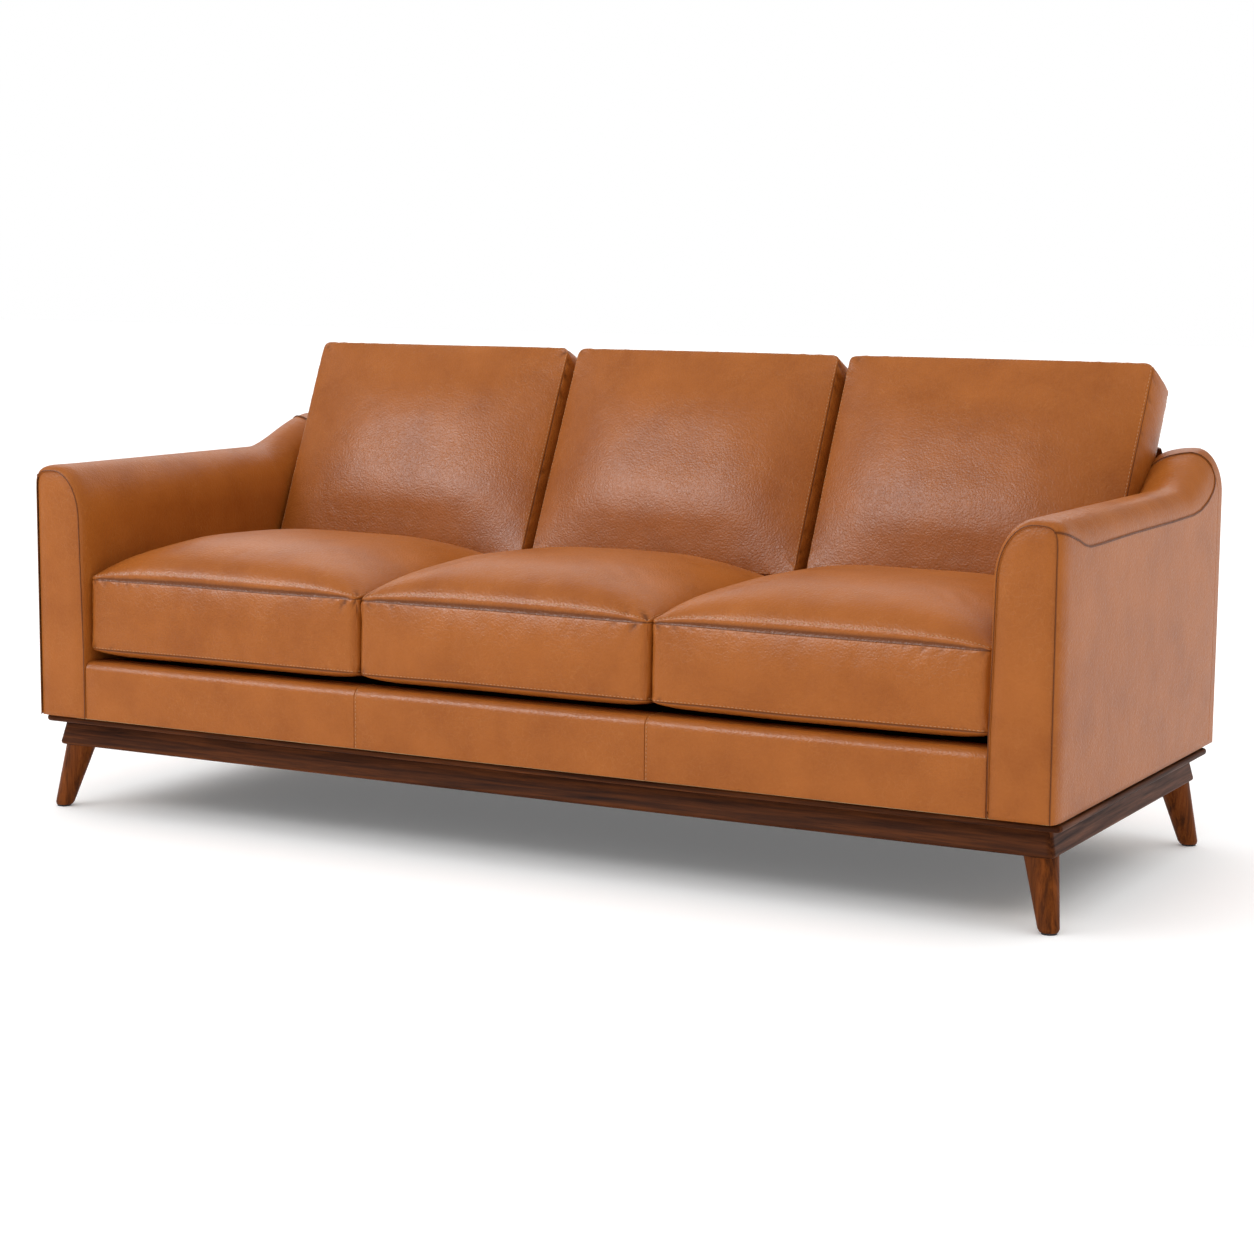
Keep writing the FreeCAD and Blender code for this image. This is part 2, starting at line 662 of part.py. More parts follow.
def back_cushion_solid(x0, x1, inset):
    """Back cushion between x0 and x1, leaning on the back and clear of the seat."""
    a = x0 + inset
    b = x1 - inset
    h = back_cushion_height - inset
    t = back_cushion_thickness - inset
    path = [(inset, inset), ((-back_cushion_crown + inset, h / 2), (inset, h)),
            ((t / 2, h + back_cushion_top_crown), (t, h)), (t, inset)]
    body = prism_yz(path, a, b)
    ends = [e for e in body.Edges if e.BoundBox.ZMin > h - 1 and e.BoundBox.XLength < 0.01
            and e.BoundBox.YLength > t / 2]
    body = lean_back(body.makeFillet(back_corner_radius - inset, ends))
    gap = frame_to_back_gap + inset
    keep_out = [(inside_back_y(0, -gap), 0), (inside_back_y(back_top_z + gap, -gap), back_top_z + gap),
                (body_depth + 200, back_top_z + gap), (body_depth + 200, 0)]
    body = body.cut(prism_yz(keep_out, x0 - 1, x1 + 1))
    crest = (seat_front_y + seat_rear_y) / 2
    lift = seat_to_back_gap + inset
    seat = [(seat_front_y, 0), (seat_front_y, seat_seam_z + lift),
            ((crest, seat_seam_z + seat_crown - pitch_fall / 2 + lift),
             (seat_rear_y + lift, seat_seam_z - pitch_fall + lift)), (seat_rear_y + lift, 0)]
    return body.cut(prism_yz(seat, x0 - 1, x1 + 1))


def make_back_cushions():
    """Cover, filling and zip of each back cushion."""
    for name, x0, x1 in back_bounds():
        cavity = back_cushion_solid(x0, x1, leather)
        add("back_cushion_cover_" + name, back_cushion_solid(x0, x1, 0).cut(cavity))
        add("back_cushion_core_" + name, back_cushion_solid(x0, x1, leather + core_gap))
        middle = (x0 + x1) / 2
        strip = block(middle - zip_length / 2, middle + zip_length / 2,
                      back_cushion_thickness / 2 - zip_width / 2 - 20,
                      back_cushion_thickness / 2 + zip_width / 2 - 20, -zip_thickness, 0)
        add("back_cushion_zip_" + name, lean_back(strip))


# ---------------------------------------------------------------- whole sofa
def place_origin():
    """Move every piece so that the origin is the bottom centre of the sofa's box."""
    box = Part.makeCompound(list(shapes.values())).optimalBoundingBox(False, False)
    shift = V(0, -(box.YMin + box.YMax) / 2, -box.ZMin)
    for name in shapes:
        shapes[name].translate(shift)
    return shift, box


def main():
    """Build every sub-part and write one STEP file for each."""
    wedges = mitre_wedges()
    make_lip(wedges)
    make_plinth(wedges)
    make_legs()
    make_arms()
    make_front_rail()
    make_back()
    make_frame()
    make_springs()
    make_seat_cushions()
    make_back_cushions()
    shift, box = place_origin()
    os.makedirs("parts", exist_ok=True)
    for name, shape in shapes.items():
        shape.exportStep("parts/" + name + ".step")
    print("nodes", len(shapes), "shift", round(shift.y, 2), round(shift.z, 2))
    print("box", round(box.XLength, 1), round(box.YLength, 1), round(box.ZLength, 1))


main()
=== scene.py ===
"""Three-seat leather sofa on a walnut plinth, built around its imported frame.

Every length is in metres, in the frame's own axes: X along the sofa, -Y out of its front, Z up.
"""

from __future__ import annotations

import json
import logging
import math
from dataclasses import dataclass, field
from enum import Enum
from typing import Callable, Sequence

import bpy
import numpy as np
from mathutils import Matrix, Vector

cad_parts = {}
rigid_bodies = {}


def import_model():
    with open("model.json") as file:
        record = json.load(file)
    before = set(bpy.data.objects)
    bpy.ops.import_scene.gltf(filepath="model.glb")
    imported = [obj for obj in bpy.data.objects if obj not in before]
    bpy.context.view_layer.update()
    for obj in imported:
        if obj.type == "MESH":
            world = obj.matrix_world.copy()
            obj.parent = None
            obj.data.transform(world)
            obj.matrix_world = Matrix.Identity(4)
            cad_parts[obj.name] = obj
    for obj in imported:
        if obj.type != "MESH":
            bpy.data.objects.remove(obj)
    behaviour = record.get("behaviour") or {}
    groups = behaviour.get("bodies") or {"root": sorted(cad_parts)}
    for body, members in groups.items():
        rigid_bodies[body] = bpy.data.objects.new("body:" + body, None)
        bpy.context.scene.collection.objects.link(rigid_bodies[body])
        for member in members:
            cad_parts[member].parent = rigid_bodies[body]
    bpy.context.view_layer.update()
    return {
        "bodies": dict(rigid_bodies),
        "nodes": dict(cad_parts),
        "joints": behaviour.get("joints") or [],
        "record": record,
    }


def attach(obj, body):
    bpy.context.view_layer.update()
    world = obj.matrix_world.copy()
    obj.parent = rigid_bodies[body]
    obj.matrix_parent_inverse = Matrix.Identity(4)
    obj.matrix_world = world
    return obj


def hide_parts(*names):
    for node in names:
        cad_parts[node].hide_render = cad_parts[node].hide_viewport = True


LOG = logging.getLogger("sofa")
Array = np.ndarray
MM = 0.001
FRONT_Y = -0.4581
ARM_DEPTH = 0.882


# ------------------------------------------------------------------ small helpers
def linear(hex_colour: str) -> tuple[float, float, float, float]:
    """Turn an sRGB hex colour into Blender's linear RGBA.

    Args:
        hex_colour: six hex digits with a leading hash.

    Returns:
        Linear red, green, blue and an alpha of 1.
    """
    parts = [int(hex_colour[i : i + 2], 16) / 255 for i in (1, 3, 5)]
    red, green, blue = (c / 12.92 if c <= 0.04045 else ((c + 0.055) / 1.055) ** 2.4 for c in parts)
    return red, green, blue, 1.0


def smooth(t: Array | float) -> Array | float:
    """Ease from 0 to 1 as t goes from 0 to 1."""
    t = np.clip(t, 0.0, 1.0)
    return t * t * (3 - 2 * t)


def drift(points: Array, wavelength: float, seed: int, octaves: int = 5) -> Array:
    """Smooth seeded noise in space, a sum of plane waves in many directions.

    Args:
        points: positions, any leading shape, last axis of 3.
        wavelength: the typical length of one wave.
        seed: picks the waves.
        octaves: how many times five waves are added, each set a little shorter.

    Returns:
        Values of about -1 to 1, one for each point.
    """
    rng = np.random.default_rng(seed)
    total = np.zeros(points.shape[:-1])
    for level in range(octaves):
        for _ in range(5):
            way = rng.normal(size=3)
            way /= np.linalg.norm(way)
            size = 2 * math.pi / (wavelength * rng.uniform(0.7, 1.4) * 0.8**level)
            total += np.sin(points @ (way * size) + rng.uniform(0, 2 * math.pi))
    return total / (2.2 * math.sqrt(octaves * 5 / 2))


def select_none() -> None:
    """Leave nothing selected, because operators act on all that is."""
    for thing in bpy.context.scene.objects:
        thing.select_set(False)


def activate(piece: bpy.types.Object) -> None:
    """Select one object alone and make it the active one."""
    select_none()
    piece.select_set(True)
    bpy.context.view_layer.objects.active = piece


def finish_modifier(piece: bpy.types.Object, kind: str, **settings: object) -> None:
    """Add one modifier to a piece and apply it.

    Args:
        piece: the object.
        kind: the modifier's type.
        settings: its properties.
    """
    activate(piece)
    modifier = piece.modifiers.new(kind.title(), kind)
    for key, value in settings.items():
        setattr(modifier, key, value)
    bpy.ops.object.modifier_apply(modifier=modifier.name)


# ------------------------------------------------------------------ seams
class Edge(Enum):
    """How a panel's edge is sewn, as (distance from the seam, height) pairs in millimetres."""

    LAP = (
        (0.0, -1.8), (0.5, -1.2), (1.0, -0.4), (1.6, 0.3), (2.6, 0.7), (3.5, 0.5),
        (4.2, 0.1), (5.2, 0.4), (8.0, 0.15), (13.0, 0.0),
    )
    UNDER = ((0.0, -1.8), (0.5, -1.2), (1.4, -0.5), (4.0, -0.2), (8.0, -0.1), (12.0, 0.0))
    TUCK_LAP = (
        (0.0, -2.6), (0.25, -1.0), (0.6, -0.1), (1.3, 0.5), (2.6, 0.9), (3.8, 0.7),
        (4.6, 0.0), (5.6, 0.4), (8.5, 0.1), (13.0, 0.0),
    )
    TUCK = (
        (0.0, -2.6), (0.25, -1.3), (0.6, -0.7), (1.6, -0.35), (4.0, -0.15), (8.0, 0.0),
        (12.0, 0.0),
    )
    PLAIN = ((0.0, 0.0), (12.0, 0.0))

    def height(self, distance: Array) -> Array:
        """Height of the skin at each distance from the seam, in metres."""
        table = np.array(self.value)
        return np.interp(distance, table[:, 0] * MM, table[:, 1] * MM)


SEAM_ROWS = np.array([0.0, 0.35, 0.8, 1.4, 2.1, 2.9, 3.9, 5.0, 5.8, 6.8, 8.3, 10.4, 13.5]) * MM
STITCH_ROW = 6


def stations(length: float, step: float, near: bool = True, far: bool = True) -> Array:
    """Distances along a panel, close together by its seams and even between them.

    Args:
        length: the panel's length that way.
        step: the even spacing.
        near: whether there is a seam at the start.
        far: whether there is a seam at the end.

    Returns:
        Rising distances from 0 to length.
    """
    start = SEAM_ROWS if near else np.array([0.0])
    end = length - SEAM_ROWS[::-1] if far else np.array([length])
    count = max(int(round((end[0] - start[-1]) / step)), 1)
    middle = np.linspace(start[-1], end[0], count + 1)[1:-1]
    return np.concatenate([start, middle, end])


class Skin:
    """Panels of leather as grids of points, welded where their edges meet."""

    def __init__(self) -> None:
        """Start with no panels."""
        self.grids: list[Array] = []
        self.lifts: list[Array] = []
        self.flips: list[bool] = []
        self.index: Array = np.zeros(0, int)
        self.points: Array = np.zeros((0, 3))
        self.normals: Array = np.zeros((0, 3))
        self.faces: list[tuple[int, ...]] = []
        # The seam values are painted shade: how dark the leather is painted in each seam groove.
        self.seam: Array = np.zeros(0)

    def add(self, grid: Array, lift: Array | None = None, flip: bool = False) -> int:
        """Add one panel.

        Args:
            grid: points, shaped rows by columns by 3.
            lift: how far each point stands off the surface once all is welded.
            flip: whether the panel's faces have to be turned over.

        Returns:
            The panel's number.
        """
        self.grids.append(grid)
        self.lifts.append(np.zeros(grid.shape[:2]) if lift is None else lift)
        self.flips.append(flip)
        return len(self.grids) - 1

    def weld(self) -> None:
        """Join the panels into one mesh, then stand each point off along its normal."""
        flat = np.concatenate([g.reshape(-1, 3) for g in self.grids])
        lift = np.concatenate([x.reshape(-1) for x in self.lifts])
        _, first, inverse = np.unique(np.round(flat / 2e-6).astype(np.int64), axis=0,
                                      return_index=True, return_inverse=True)
        self.index = inverse.reshape(-1)
        points = flat[first]
        weight = np.bincount(self.index)
        offset = np.bincount(self.index, weights=lift) / weight
        faces = []
        base = 0
        for grid, flip in zip(self.grids, self.flips):
            rows, columns = grid.shape[:2]
            ids = self.index[base : base + rows * columns].reshape(rows, columns)
            corners = [ids[:-1, :-1], ids[1:, :-1], ids[1:, 1:], ids[:-1, 1:]]
            quads = np.stack(corners, -1).reshape(-1, 4)
            faces.append(quads[:, ::-1] if flip else quads)
            base += rows * columns
        quads = np.concatenate(faces)
        self.normals = self._normals(points, quads)
        self.points = points + self.normals * offset[:, None]
        # Painted shade: the deeper a point sits in a seam groove, the more its leather colour is
        # darkened.
        self.seam = 0.8 * np.clip((-offset / MM - 0.4) / 0.9, 0, 1)
        self.faces = []
        for quad in quads.tolist():
            ring = [v for i, v in enumerate(quad) if v != quad[i - 1]]
            if len(set(ring)) >= 3:
                self.faces.append(tuple(dict.fromkeys(ring)))

    @staticmethod
    def _normals(points: Array, quads: Array) -> Array:
        """Unit normals of the points, from the quads round them."""
        a, b, c, d = (points[quads[:, i]] for i in range(4))
        face = np.cross(c - a, d - b)
        total = np.zeros_like(points)
        for i in range(4):
            np.add.at(total, quads[:, i], face)
        size = np.linalg.norm(total, axis=1, keepdims=True)
        return total / np.maximum(size, 1e-12)

    def panel(self, number: int) -> Array:
        """Where one panel's points lie in the welded mesh, rows by columns."""
        base = sum(g.shape[0] * g.shape[1] for g in self.grids[:number])
        rows, columns = self.grids[number].shape[:2]
        return self.index[base : base + rows * columns].reshape(rows, columns)

    def piece(self, name: str) -> bpy.types.Object:
        """Make the mesh object, smooth shaded, with the painted shade of its seam grooves stored
        for the leather.
        """
        mesh = bpy.data.meshes.new(name)
        mesh.from_pydata(self.points.tolist(), [], self.faces)
        mesh.validate()
        mesh.update()
        # The seam attribute carries that painted groove shade to the leather.
        if len(mesh.vertices) == len(self.seam):
            groove_shade = mesh.attributes.new("seam", "FLOAT", "POINT")
            groove_shade.data.foreach_set("value", self.seam.astype(np.float32))
        piece = bpy.data.objects.new(name, mesh)
        bpy.context.scene.collection.objects.link(piece)
        mesh.polygons.foreach_set("use_smooth", [True] * len(mesh.polygons))
        return piece


def mirror_piece(piece: bpy.types.Object, name: str) -> bpy.types.Object:
    """Copy a piece to the sofa's other side.

    Args:
        piece: the finished right-hand piece.
        name: the copy's name.

    Returns:
        The left-hand piece, with its own mesh and its faces turned outwards.
    """
    mesh = piece.data.copy()
    mesh.transform(Matrix.Scale(-1, 4, Vector((1, 0, 0))))
    mesh.flip_normals()
    copy = bpy.data.objects.new(name, mesh)
    bpy.context.scene.collection.objects.link(copy)
    return copy


# ------------------------------------------------------------------ thread
@dataclass
class Stitching:
    """A run of stitches: one short slug of thread, copied along seams."""

    length: float = 5.2 * MM
    pitch: float = 7.4 * MM
    thickness: float = 1.25 * MM
    runs: list[tuple[Array, Array]] = field(default_factory=list)

    def along(self, points: Array, normals: Array) -> None:
        """Remember a seam's line and the skin's normals along it."""
        self.runs.append((np.asarray(points), np.asarray(normals)))

    def slug(self) -> tuple[Array, Array]:
        """Model one stitch at the origin, along X.

        Returns:
            Its points and its faces' corner numbers as triangles.
        """
        select_none()
        bpy.ops.mesh.primitive_uv_sphere_add(segments=6, ring_count=4, radius=0.5,
                                             rotation=(0, math.pi / 2, 0))
        ball = bpy.context.object
        bpy.ops.object.transform_apply(rotation=True)
        ball.scale = (self.length, self.thickness, self.thickness * 0.8)
        bpy.ops.object.transform_apply(scale=True)
        finish_modifier(ball, "TRIANGULATE")
        points = np.array([v.co for v in ball.data.vertices])
        faces = np.array([p.vertices for p in ball.data.polygons])
        bpy.data.objects.remove(ball)
        return points, faces

    def piece(self, name: str) -> bpy.types.Object:
        """Copy the stitch along every run and make one object of them."""
        slug, faces = self.slug()
        all_points, all_faces = [], []
        count = 0
        for line, normals in self.runs:
            steps = np.linalg.norm(np.diff(line, axis=0), axis=1)
            reach = np.concatenate([[0], np.cumsum(steps)])
            number = int(reach[-1] / self.pitch)
            if number < 2:
                continue
            at = (np.arange(number) + 0.5) * reach[-1] / number
            half = self.length * 0.4
            centre = np.stack([np.interp(at, reach, line[:, k]) for k in range(3)], 1)
            ahead = np.stack([np.interp(at + half, reach, line[:, k]) for k in range(3)], 1)
            behind = np.stack([np.interp(at - half, reach, line[:, k]) for k in range(3)], 1)
            up = np.stack([np.interp(at, reach, normals[:, k]) for k in range(3)], 1)
            tangent = ahead - behind
            tangent /= np.linalg.norm(tangent, axis=1, keepdims=True)
            side = np.cross(up, tangent)
            side /= np.linalg.norm(side, axis=1, keepdims=True)
            up = np.cross(tangent, side)
            placed = (centre[:, None] + slug[None, :, 0, None] * tangent[:, None]
                      + slug[None, :, 1, None] * side[:, None]
                      + (slug[None, :, 2, None] + 0.15 * MM) * up[:, None])
            all_points.append(placed.reshape(-1, 3))
            for i in range(number):
                all_faces.append(faces + count + i * len(slug))
            count += number * len(slug)
        mesh = bpy.data.meshes.new(name)
        mesh.from_pydata(np.concatenate(all_points).tolist(), [],
                         np.concatenate(all_faces).tolist())
        mesh.update()
        mesh.polygons.foreach_set("use_smooth", [True] * len(mesh.polygons))
        piece = bpy.data.objects.new(name, mesh)
        bpy.context.scene.collection.objects.link(piece)
        return piece


# ------------------------------------------------------------------ finishes
def add_node(tree: bpy.types.NodeTree, kind: str, links: dict | None = None,
             **settings: object) -> bpy.types.Node:
    """Add one node with its settings and what feeds it.

    Args:
        tree: the material's node tree.
        kind: the node's type.
        links: input name or number to a value or to another node's output socket.
        settings: the node's own properties.

    Returns:
        The new node.
    """
    node = tree.nodes.new(kind)
    for key, value in settings.items():
        setattr(node, key, value)
    for key, value in (links or {}).items():
        if isinstance(value, bpy.types.NodeSocket):
            tree.links.new(value, node.inputs[key])
        else:
            node.inputs[key].default_value = value
    return node


def ramp(tree: bpy.types.NodeTree, source: bpy.types.NodeSocket,
         stops: Sequence[tuple[float, tuple[float, ...]]]) -> bpy.types.NodeSocket:
    """Colour ramp over a value.

    Args:
        tree: the material's node tree.
        source: the value.
        stops: positions and linear colours.

    Returns:
        The ramp's colour output.
    """
    node = add_node(tree, "ShaderNodeValToRGB", {0: source})
    elements = node.color_ramp.elements
    while len(elements) < len(stops):
        elements.new(0.5)
    for element, (position, colour) in zip(elements, stops):
        element.position = position
        element.color = colour
    return node.outputs[0]


def new_material(name: str) -> tuple[bpy.types.Material, bpy.types.NodeTree, bpy.types.Node,
                                     bpy.types.NodeSocket]:
    """Make an empty material with a shader and object coordinates.

    Args:
        name: the material's name.

    Returns:
        The material, its tree, its shader and its coordinate socket.
    """
    material = bpy.data.materials.new(name)
    material.use_nodes = True
    tree = material.node_tree
    tree.nodes.clear()
    shader = add_node(tree, "ShaderNodeBsdfPrincipled")
    add_node(tree, "ShaderNodeOutputMaterial", {"Surface": shader.outputs[0]})
    place = add_node(tree, "ShaderNodeTexCoord")
    return material, tree, shader, place.outputs["Object"]


@dataclass(frozen=True)
class SemiAnilineLeather:
    """Dyed and lightly finished cowhide: warm mottled tan, fine pebble, soft wide shine."""

    name: str = "cowhide_semi_aniline_tan"
    light: str = "#a96024"
    middle: str = "#a15a20"
    deep: str = "#96511a"
    # The seam colour is painted shade, laid into the seam grooves.
    seam: str = "#5a2c0e"
    vein: str = "#c98c50"
    roughness: float = 0.36
    pebble: float = 3.4      # millimetres, a little coarser than the hide's own so that it shows
    crease: float = 15.0     # millimetres between the hide's fine crease lines
    cloud: float = 120.0     # millimetres of the dye's cloudiness

    def build(self) -> bpy.types.Material:
        """Make the material."""
        material, tree, shader, place = new_material(self.name)
        cloud = add_node(tree, "ShaderNodeTexNoise", {"Vector": place, "Scale": 1000 / self.cloud,
                                                      "Detail": 4.0, "Roughness": 0.6})
        mottle = add_node(tree, "ShaderNodeTexNoise", {"Vector": place, "Scale": 1000 / 5.0,
                                                       "Detail": 3.0, "Roughness": 0.65})
        speck = add_node(tree, "ShaderNodeMath", {0: mottle.outputs[0], 1: 0.3, 2: -0.15},
                         operation="MULTIPLY_ADD")
        mixed = add_node(tree, "ShaderNodeMath", {0: cloud.outputs[0], 1: speck.outputs[0]},
                         operation="ADD")
        base = ramp(tree, mixed.outputs[0], [(0.27, linear(self.deep)), (0.5, linear(self.middle)),
                                             (0.73, linear(self.light))])
        warp = add_node(tree, "ShaderNodeTexNoise", {"Vector": place, "Scale": 1000 / 24.0,
                                                     "Detail": 2.0})
        bent = add_node(tree, "ShaderNodeMix", {0: 0.035, 4: place, 5: warp.outputs["Color"]},
                        data_type="VECTOR")
        pebble = add_node(tree, "ShaderNodeTexVoronoi", {"Vector": place,
                                                         "Scale": 1000 / self.pebble},
                          feature="SMOOTH_F1")
        crease = add_node(tree, "ShaderNodeTexVoronoi", {"Vector": bent.outputs[1],
                                                         "Scale": 1000 / self.crease},
                          feature="DISTANCE_TO_EDGE")
        line = add_node(tree, "ShaderNodeMapRange", {0: crease.outputs[0], 1: 0.0, 2: 0.05,
                                                     3: 0.0, 4: 1.0})
        fade = add_node(tree, "ShaderNodeTexNoise", {"Vector": place, "Scale": 1000 / 70.0,
                                                     "Detail": 2.0})
        patch = add_node(tree, "ShaderNodeMapRange", {0: fade.outputs[0], 1: 0.42, 2: 0.62,
                                                      3: 0.0, 4: 1.0})
        faint = add_node(tree, "ShaderNodeMix", {0: patch.outputs[0], 2: 1.0, 3: line.outputs[0]})
        pale = add_node(tree, "ShaderNodeMapRange", {0: faint.outputs[0], 1: 0.0, 2: 1.0,
                                                     3: 0.11, 4: 0.0})
        worn = add_node(tree, "ShaderNodeMix", {0: pale.outputs[0], 6: base,
                                                7: linear(self.vein)}, data_type="RGBA")
        # Painted shade: the seam grooves are darkened towards the seam colour by how deep they are.
        groove_shade = add_node(tree, "ShaderNodeAttribute", attribute_name="seam")
        dark = add_node(tree, "ShaderNodeMix", {0: groove_shade.outputs["Fac"], 6: worn.outputs[2],
                                                7: linear(self.seam)}, data_type="RGBA")
        tree.links.new(dark.outputs[2], shader.inputs["Base Color"])
        rough = add_node(tree, "ShaderNodeMapRange", {0: mottle.outputs[0], 1: 0.3, 2: 0.7,
                                                      3: self.roughness - 0.05,
                                                      4: self.roughness + 0.09})
        tree.links.new(rough.outputs[0], shader.inputs["Roughness"])
        grain = add_node(tree, "ShaderNodeBump", {"Height": pebble.outputs[0], "Strength": 0.7,
                                                  "Distance": 0.7 * MM}, invert=True)
        folds = add_node(tree, "ShaderNodeBump", {"Height": faint.outputs[0], "Strength": 0.28,
                                                  "Distance": 0.6 * MM,
                                                  "Normal": grain.outputs[0]})
        lumps = add_node(tree, "ShaderNodeTexNoise", {"Vector": place, "Scale": 1000 / 30.0,
                                                      "Detail": 3.0})
        swell = add_node(tree, "ShaderNodeBump", {"Height": lumps.outputs[0], "Strength": 0.3,
                                                  "Distance": 2.5 * MM,
                                                  "Normal": folds.outputs[0]})
        tree.links.new(swell.outputs[0], shader.inputs["Normal"])
        shader.inputs["IOR"].default_value = 1.45
        shader.inputs["Specular IOR Level"].default_value = 0.22
        return material


class Grain(Enum):
    """Which way a board's grain runs."""

    ALONG_X = 0
    ALONG_Y = 1
    ALONG_Z = 2


@dataclass(frozen=True)
class Walnut:
    """Stained walnut under satin lacquer: long dark streaks, fine open pores, low shine."""

    grain: Grain
    light: str = "#6a3818"
    middle: str = "#4c260f"
    dark: str = "#2c1206"
    roughness: float = 0.45
    streak: float = 9.0      # millimetres across one streak
    run: float = 260.0       # millimetres along it
    pore: float = 1.1        # millimetres across a pore line

    def build(self) -> bpy.types.Material:
        """Make the material."""
        material, tree, shader, place = new_material("walnut_stained_" + self.grain.name.lower())
        across = [1000 / self.streak] * 3
        across[self.grain.value] = 1000 / self.run
        wide = add_node(tree, "ShaderNodeMapping", {"Vector": place, "Scale": across})
        streaks = add_node(tree, "ShaderNodeTexNoise", {"Vector": wide.outputs[0], "Scale": 1.0,
                                                        "Detail": 6.0, "Roughness": 0.62,
                                                        "Distortion": 0.35})
        fine = [1000 / self.pore] * 3
        fine[self.grain.value] = 1000 / 30.0
        thin = add_node(tree, "ShaderNodeMapping", {"Vector": place, "Scale": fine})
        pores = add_node(tree, "ShaderNodeTexNoise", {"Vector": thin.outputs[0], "Scale": 1.0,
                                                      "Detail": 2.0})
        colour = ramp(tree, streaks.outputs[0], [(0.33, linear(self.dark)),
                                                 (0.5, linear(self.middle)),
                                                 (0.7, linear(self.light))])
        deep = add_node(tree, "ShaderNodeMapRange", {0: pores.outputs[0], 1: 0.3, 2: 0.46,
                                                     3: 0.55, 4: 1.0})
        tone = add_node(tree, "ShaderNodeMix", {0: 0.7, 6: colour, 7: deep.outputs[0]},
                        data_type="RGBA", blend_type="MULTIPLY")
        tree.links.new(tone.outputs[2], shader.inputs["Base Color"])
        rough = add_node(tree, "ShaderNodeMapRange", {0: streaks.outputs[0], 1: 0.3, 2: 0.7,
                                                      3: self.roughness + 0.08,
                                                      4: self.roughness - 0.05})
        tree.links.new(rough.outputs[0], shader.inputs["Roughness"])
        bump = add_node(tree, "ShaderNodeBump", {"Height": deep.outputs[0], "Strength": 0.25,
                                                 "Distance": 0.3 * MM})
        tree.links.new(bump.outputs[0], shader.inputs["Normal"])
        shader.inputs["Specular IOR Level"].default_value = 0.07
        return material


@dataclass(frozen=True)
class PlainSawnTimber:
    """Unfinished sawn or planed frame timber: pale, dull, with soft growth lines."""

    name: str
    light: str
    dark: str
    roughness: float = 0.72

    def build(self) -> bpy.types.Material:
        """Make the material."""
        material, tree, shader, place = new_material(self.name)
        long = add_node(tree, "ShaderNodeMapping", {"Vector": place, "Scale": (6.0, 90.0, 90.0)})
        lines = add_node(tree, "ShaderNodeTexNoise", {"Vector": long.outputs[0], "Scale": 1.0,
                                                      "Detail": 5.0, "Distortion": 0.5})
        colour = ramp(tree, lines.outputs[0], [(0.35, linear(self.dark)),
                                               (0.65, linear(self.light))])
        tree.links.new(colour, shader.inputs["Base Color"])
        bump = add_node(tree, "ShaderNodeBump", {"Height": lines.outputs[0], "Strength": 0.3,
                                                 "Distance": 0.4 * MM})
        tree.links.new(bump.outputs[0], shader.inputs["Normal"])
        shader.inputs["Roughness"].default_value = self.roughness
        return material


@dataclass(frozen=True)
class WovenCloth:
    """Plain woven or pressed cloth: a fine over-and-under of threads, no shine."""

    name: str
    light: str
    dark: str
    thread: float = 1.2      # millimetres between threads
    roughness: float = 0.9

    def build(self) -> bpy.types.Material:
        """Make the material."""
        material, tree, shader, place = new_material(self.name)
        turns = 2 * math.pi * 1000 / self.thread / 20
        one = add_node(tree, "ShaderNodeTexWave", {"Vector": place, "Scale": turns,
                                                   "Distortion": 0.4}, bands_direction="X")
        other = add_node(tree, "ShaderNodeTexWave", {"Vector": place, "Scale": turns,
                                                     "Distortion": 0.4}, bands_direction="Y")
        weave = add_node(tree, "ShaderNodeMath", {0: one.outputs[1], 1: other.outputs[1]},
                         operation="MULTIPLY")
        fuzz = add_node(tree, "ShaderNodeTexNoise", {"Vector": place, "Scale": 220.0,
                                                     "Detail": 3.0})
        both = add_node(tree, "ShaderNodeMath", {0: weave.outputs[0], 1: fuzz.outputs[0]},
                        operation="ADD")
        colour = ramp(tree, both.outputs[0], [(0.45, linear(self.dark)), (1.1, linear(self.light))])
        tree.links.new(colour, shader.inputs["Base Color"])
        bump = add_node(tree, "ShaderNodeBump", {"Height": both.outputs[0], "Strength": 0.4,
                                                 "Distance": 0.3 * MM})
        tree.links.new(bump.outputs[0], shader.inputs["Normal"])
        shader.inputs["Roughness"].default_value = self.roughness
        return material


@dataclass(frozen=True)
class DrawnMetal:
    """Drawn or plated steel: grey, with fine scratches along it."""

    name: str
    colour: str
    roughness: float = 0.35

    def build(self) -> bpy.types.Material:
        """Make the material."""
        material, tree, shader, place = new_material(self.name)
        scratch = add_node(tree, "ShaderNodeTexNoise", {"Vector": place, "Scale": 400.0,
                                                        "Detail": 4.0})
        tone = add_node(tree, "ShaderNodeMapRange", {0: scratch.outputs[0], 1: 0.3, 2: 0.7,
                                                     3: 0.8, 4: 1.0})
        colour = add_node(tree, "ShaderNodeMix", {0: 1.0, 6: linear(self.colour),
                                                  7: tone.outputs[0]},
                          data_type="RGBA", blend_type="MULTIPLY")
        tree.links.new(colour.outputs[2], shader.inputs["Base Color"])
        rough = add_node(tree, "ShaderNodeMapRange", {0: scratch.outputs[0], 1: 0.3, 2: 0.7,
                                                      3: self.roughness - 0.08,
                                                      4: self.roughness + 0.1})
        tree.links.new(rough.outputs[0], shader.inputs["Roughness"])
        shader.inputs["Metallic"].default_value = 1.0
        return material


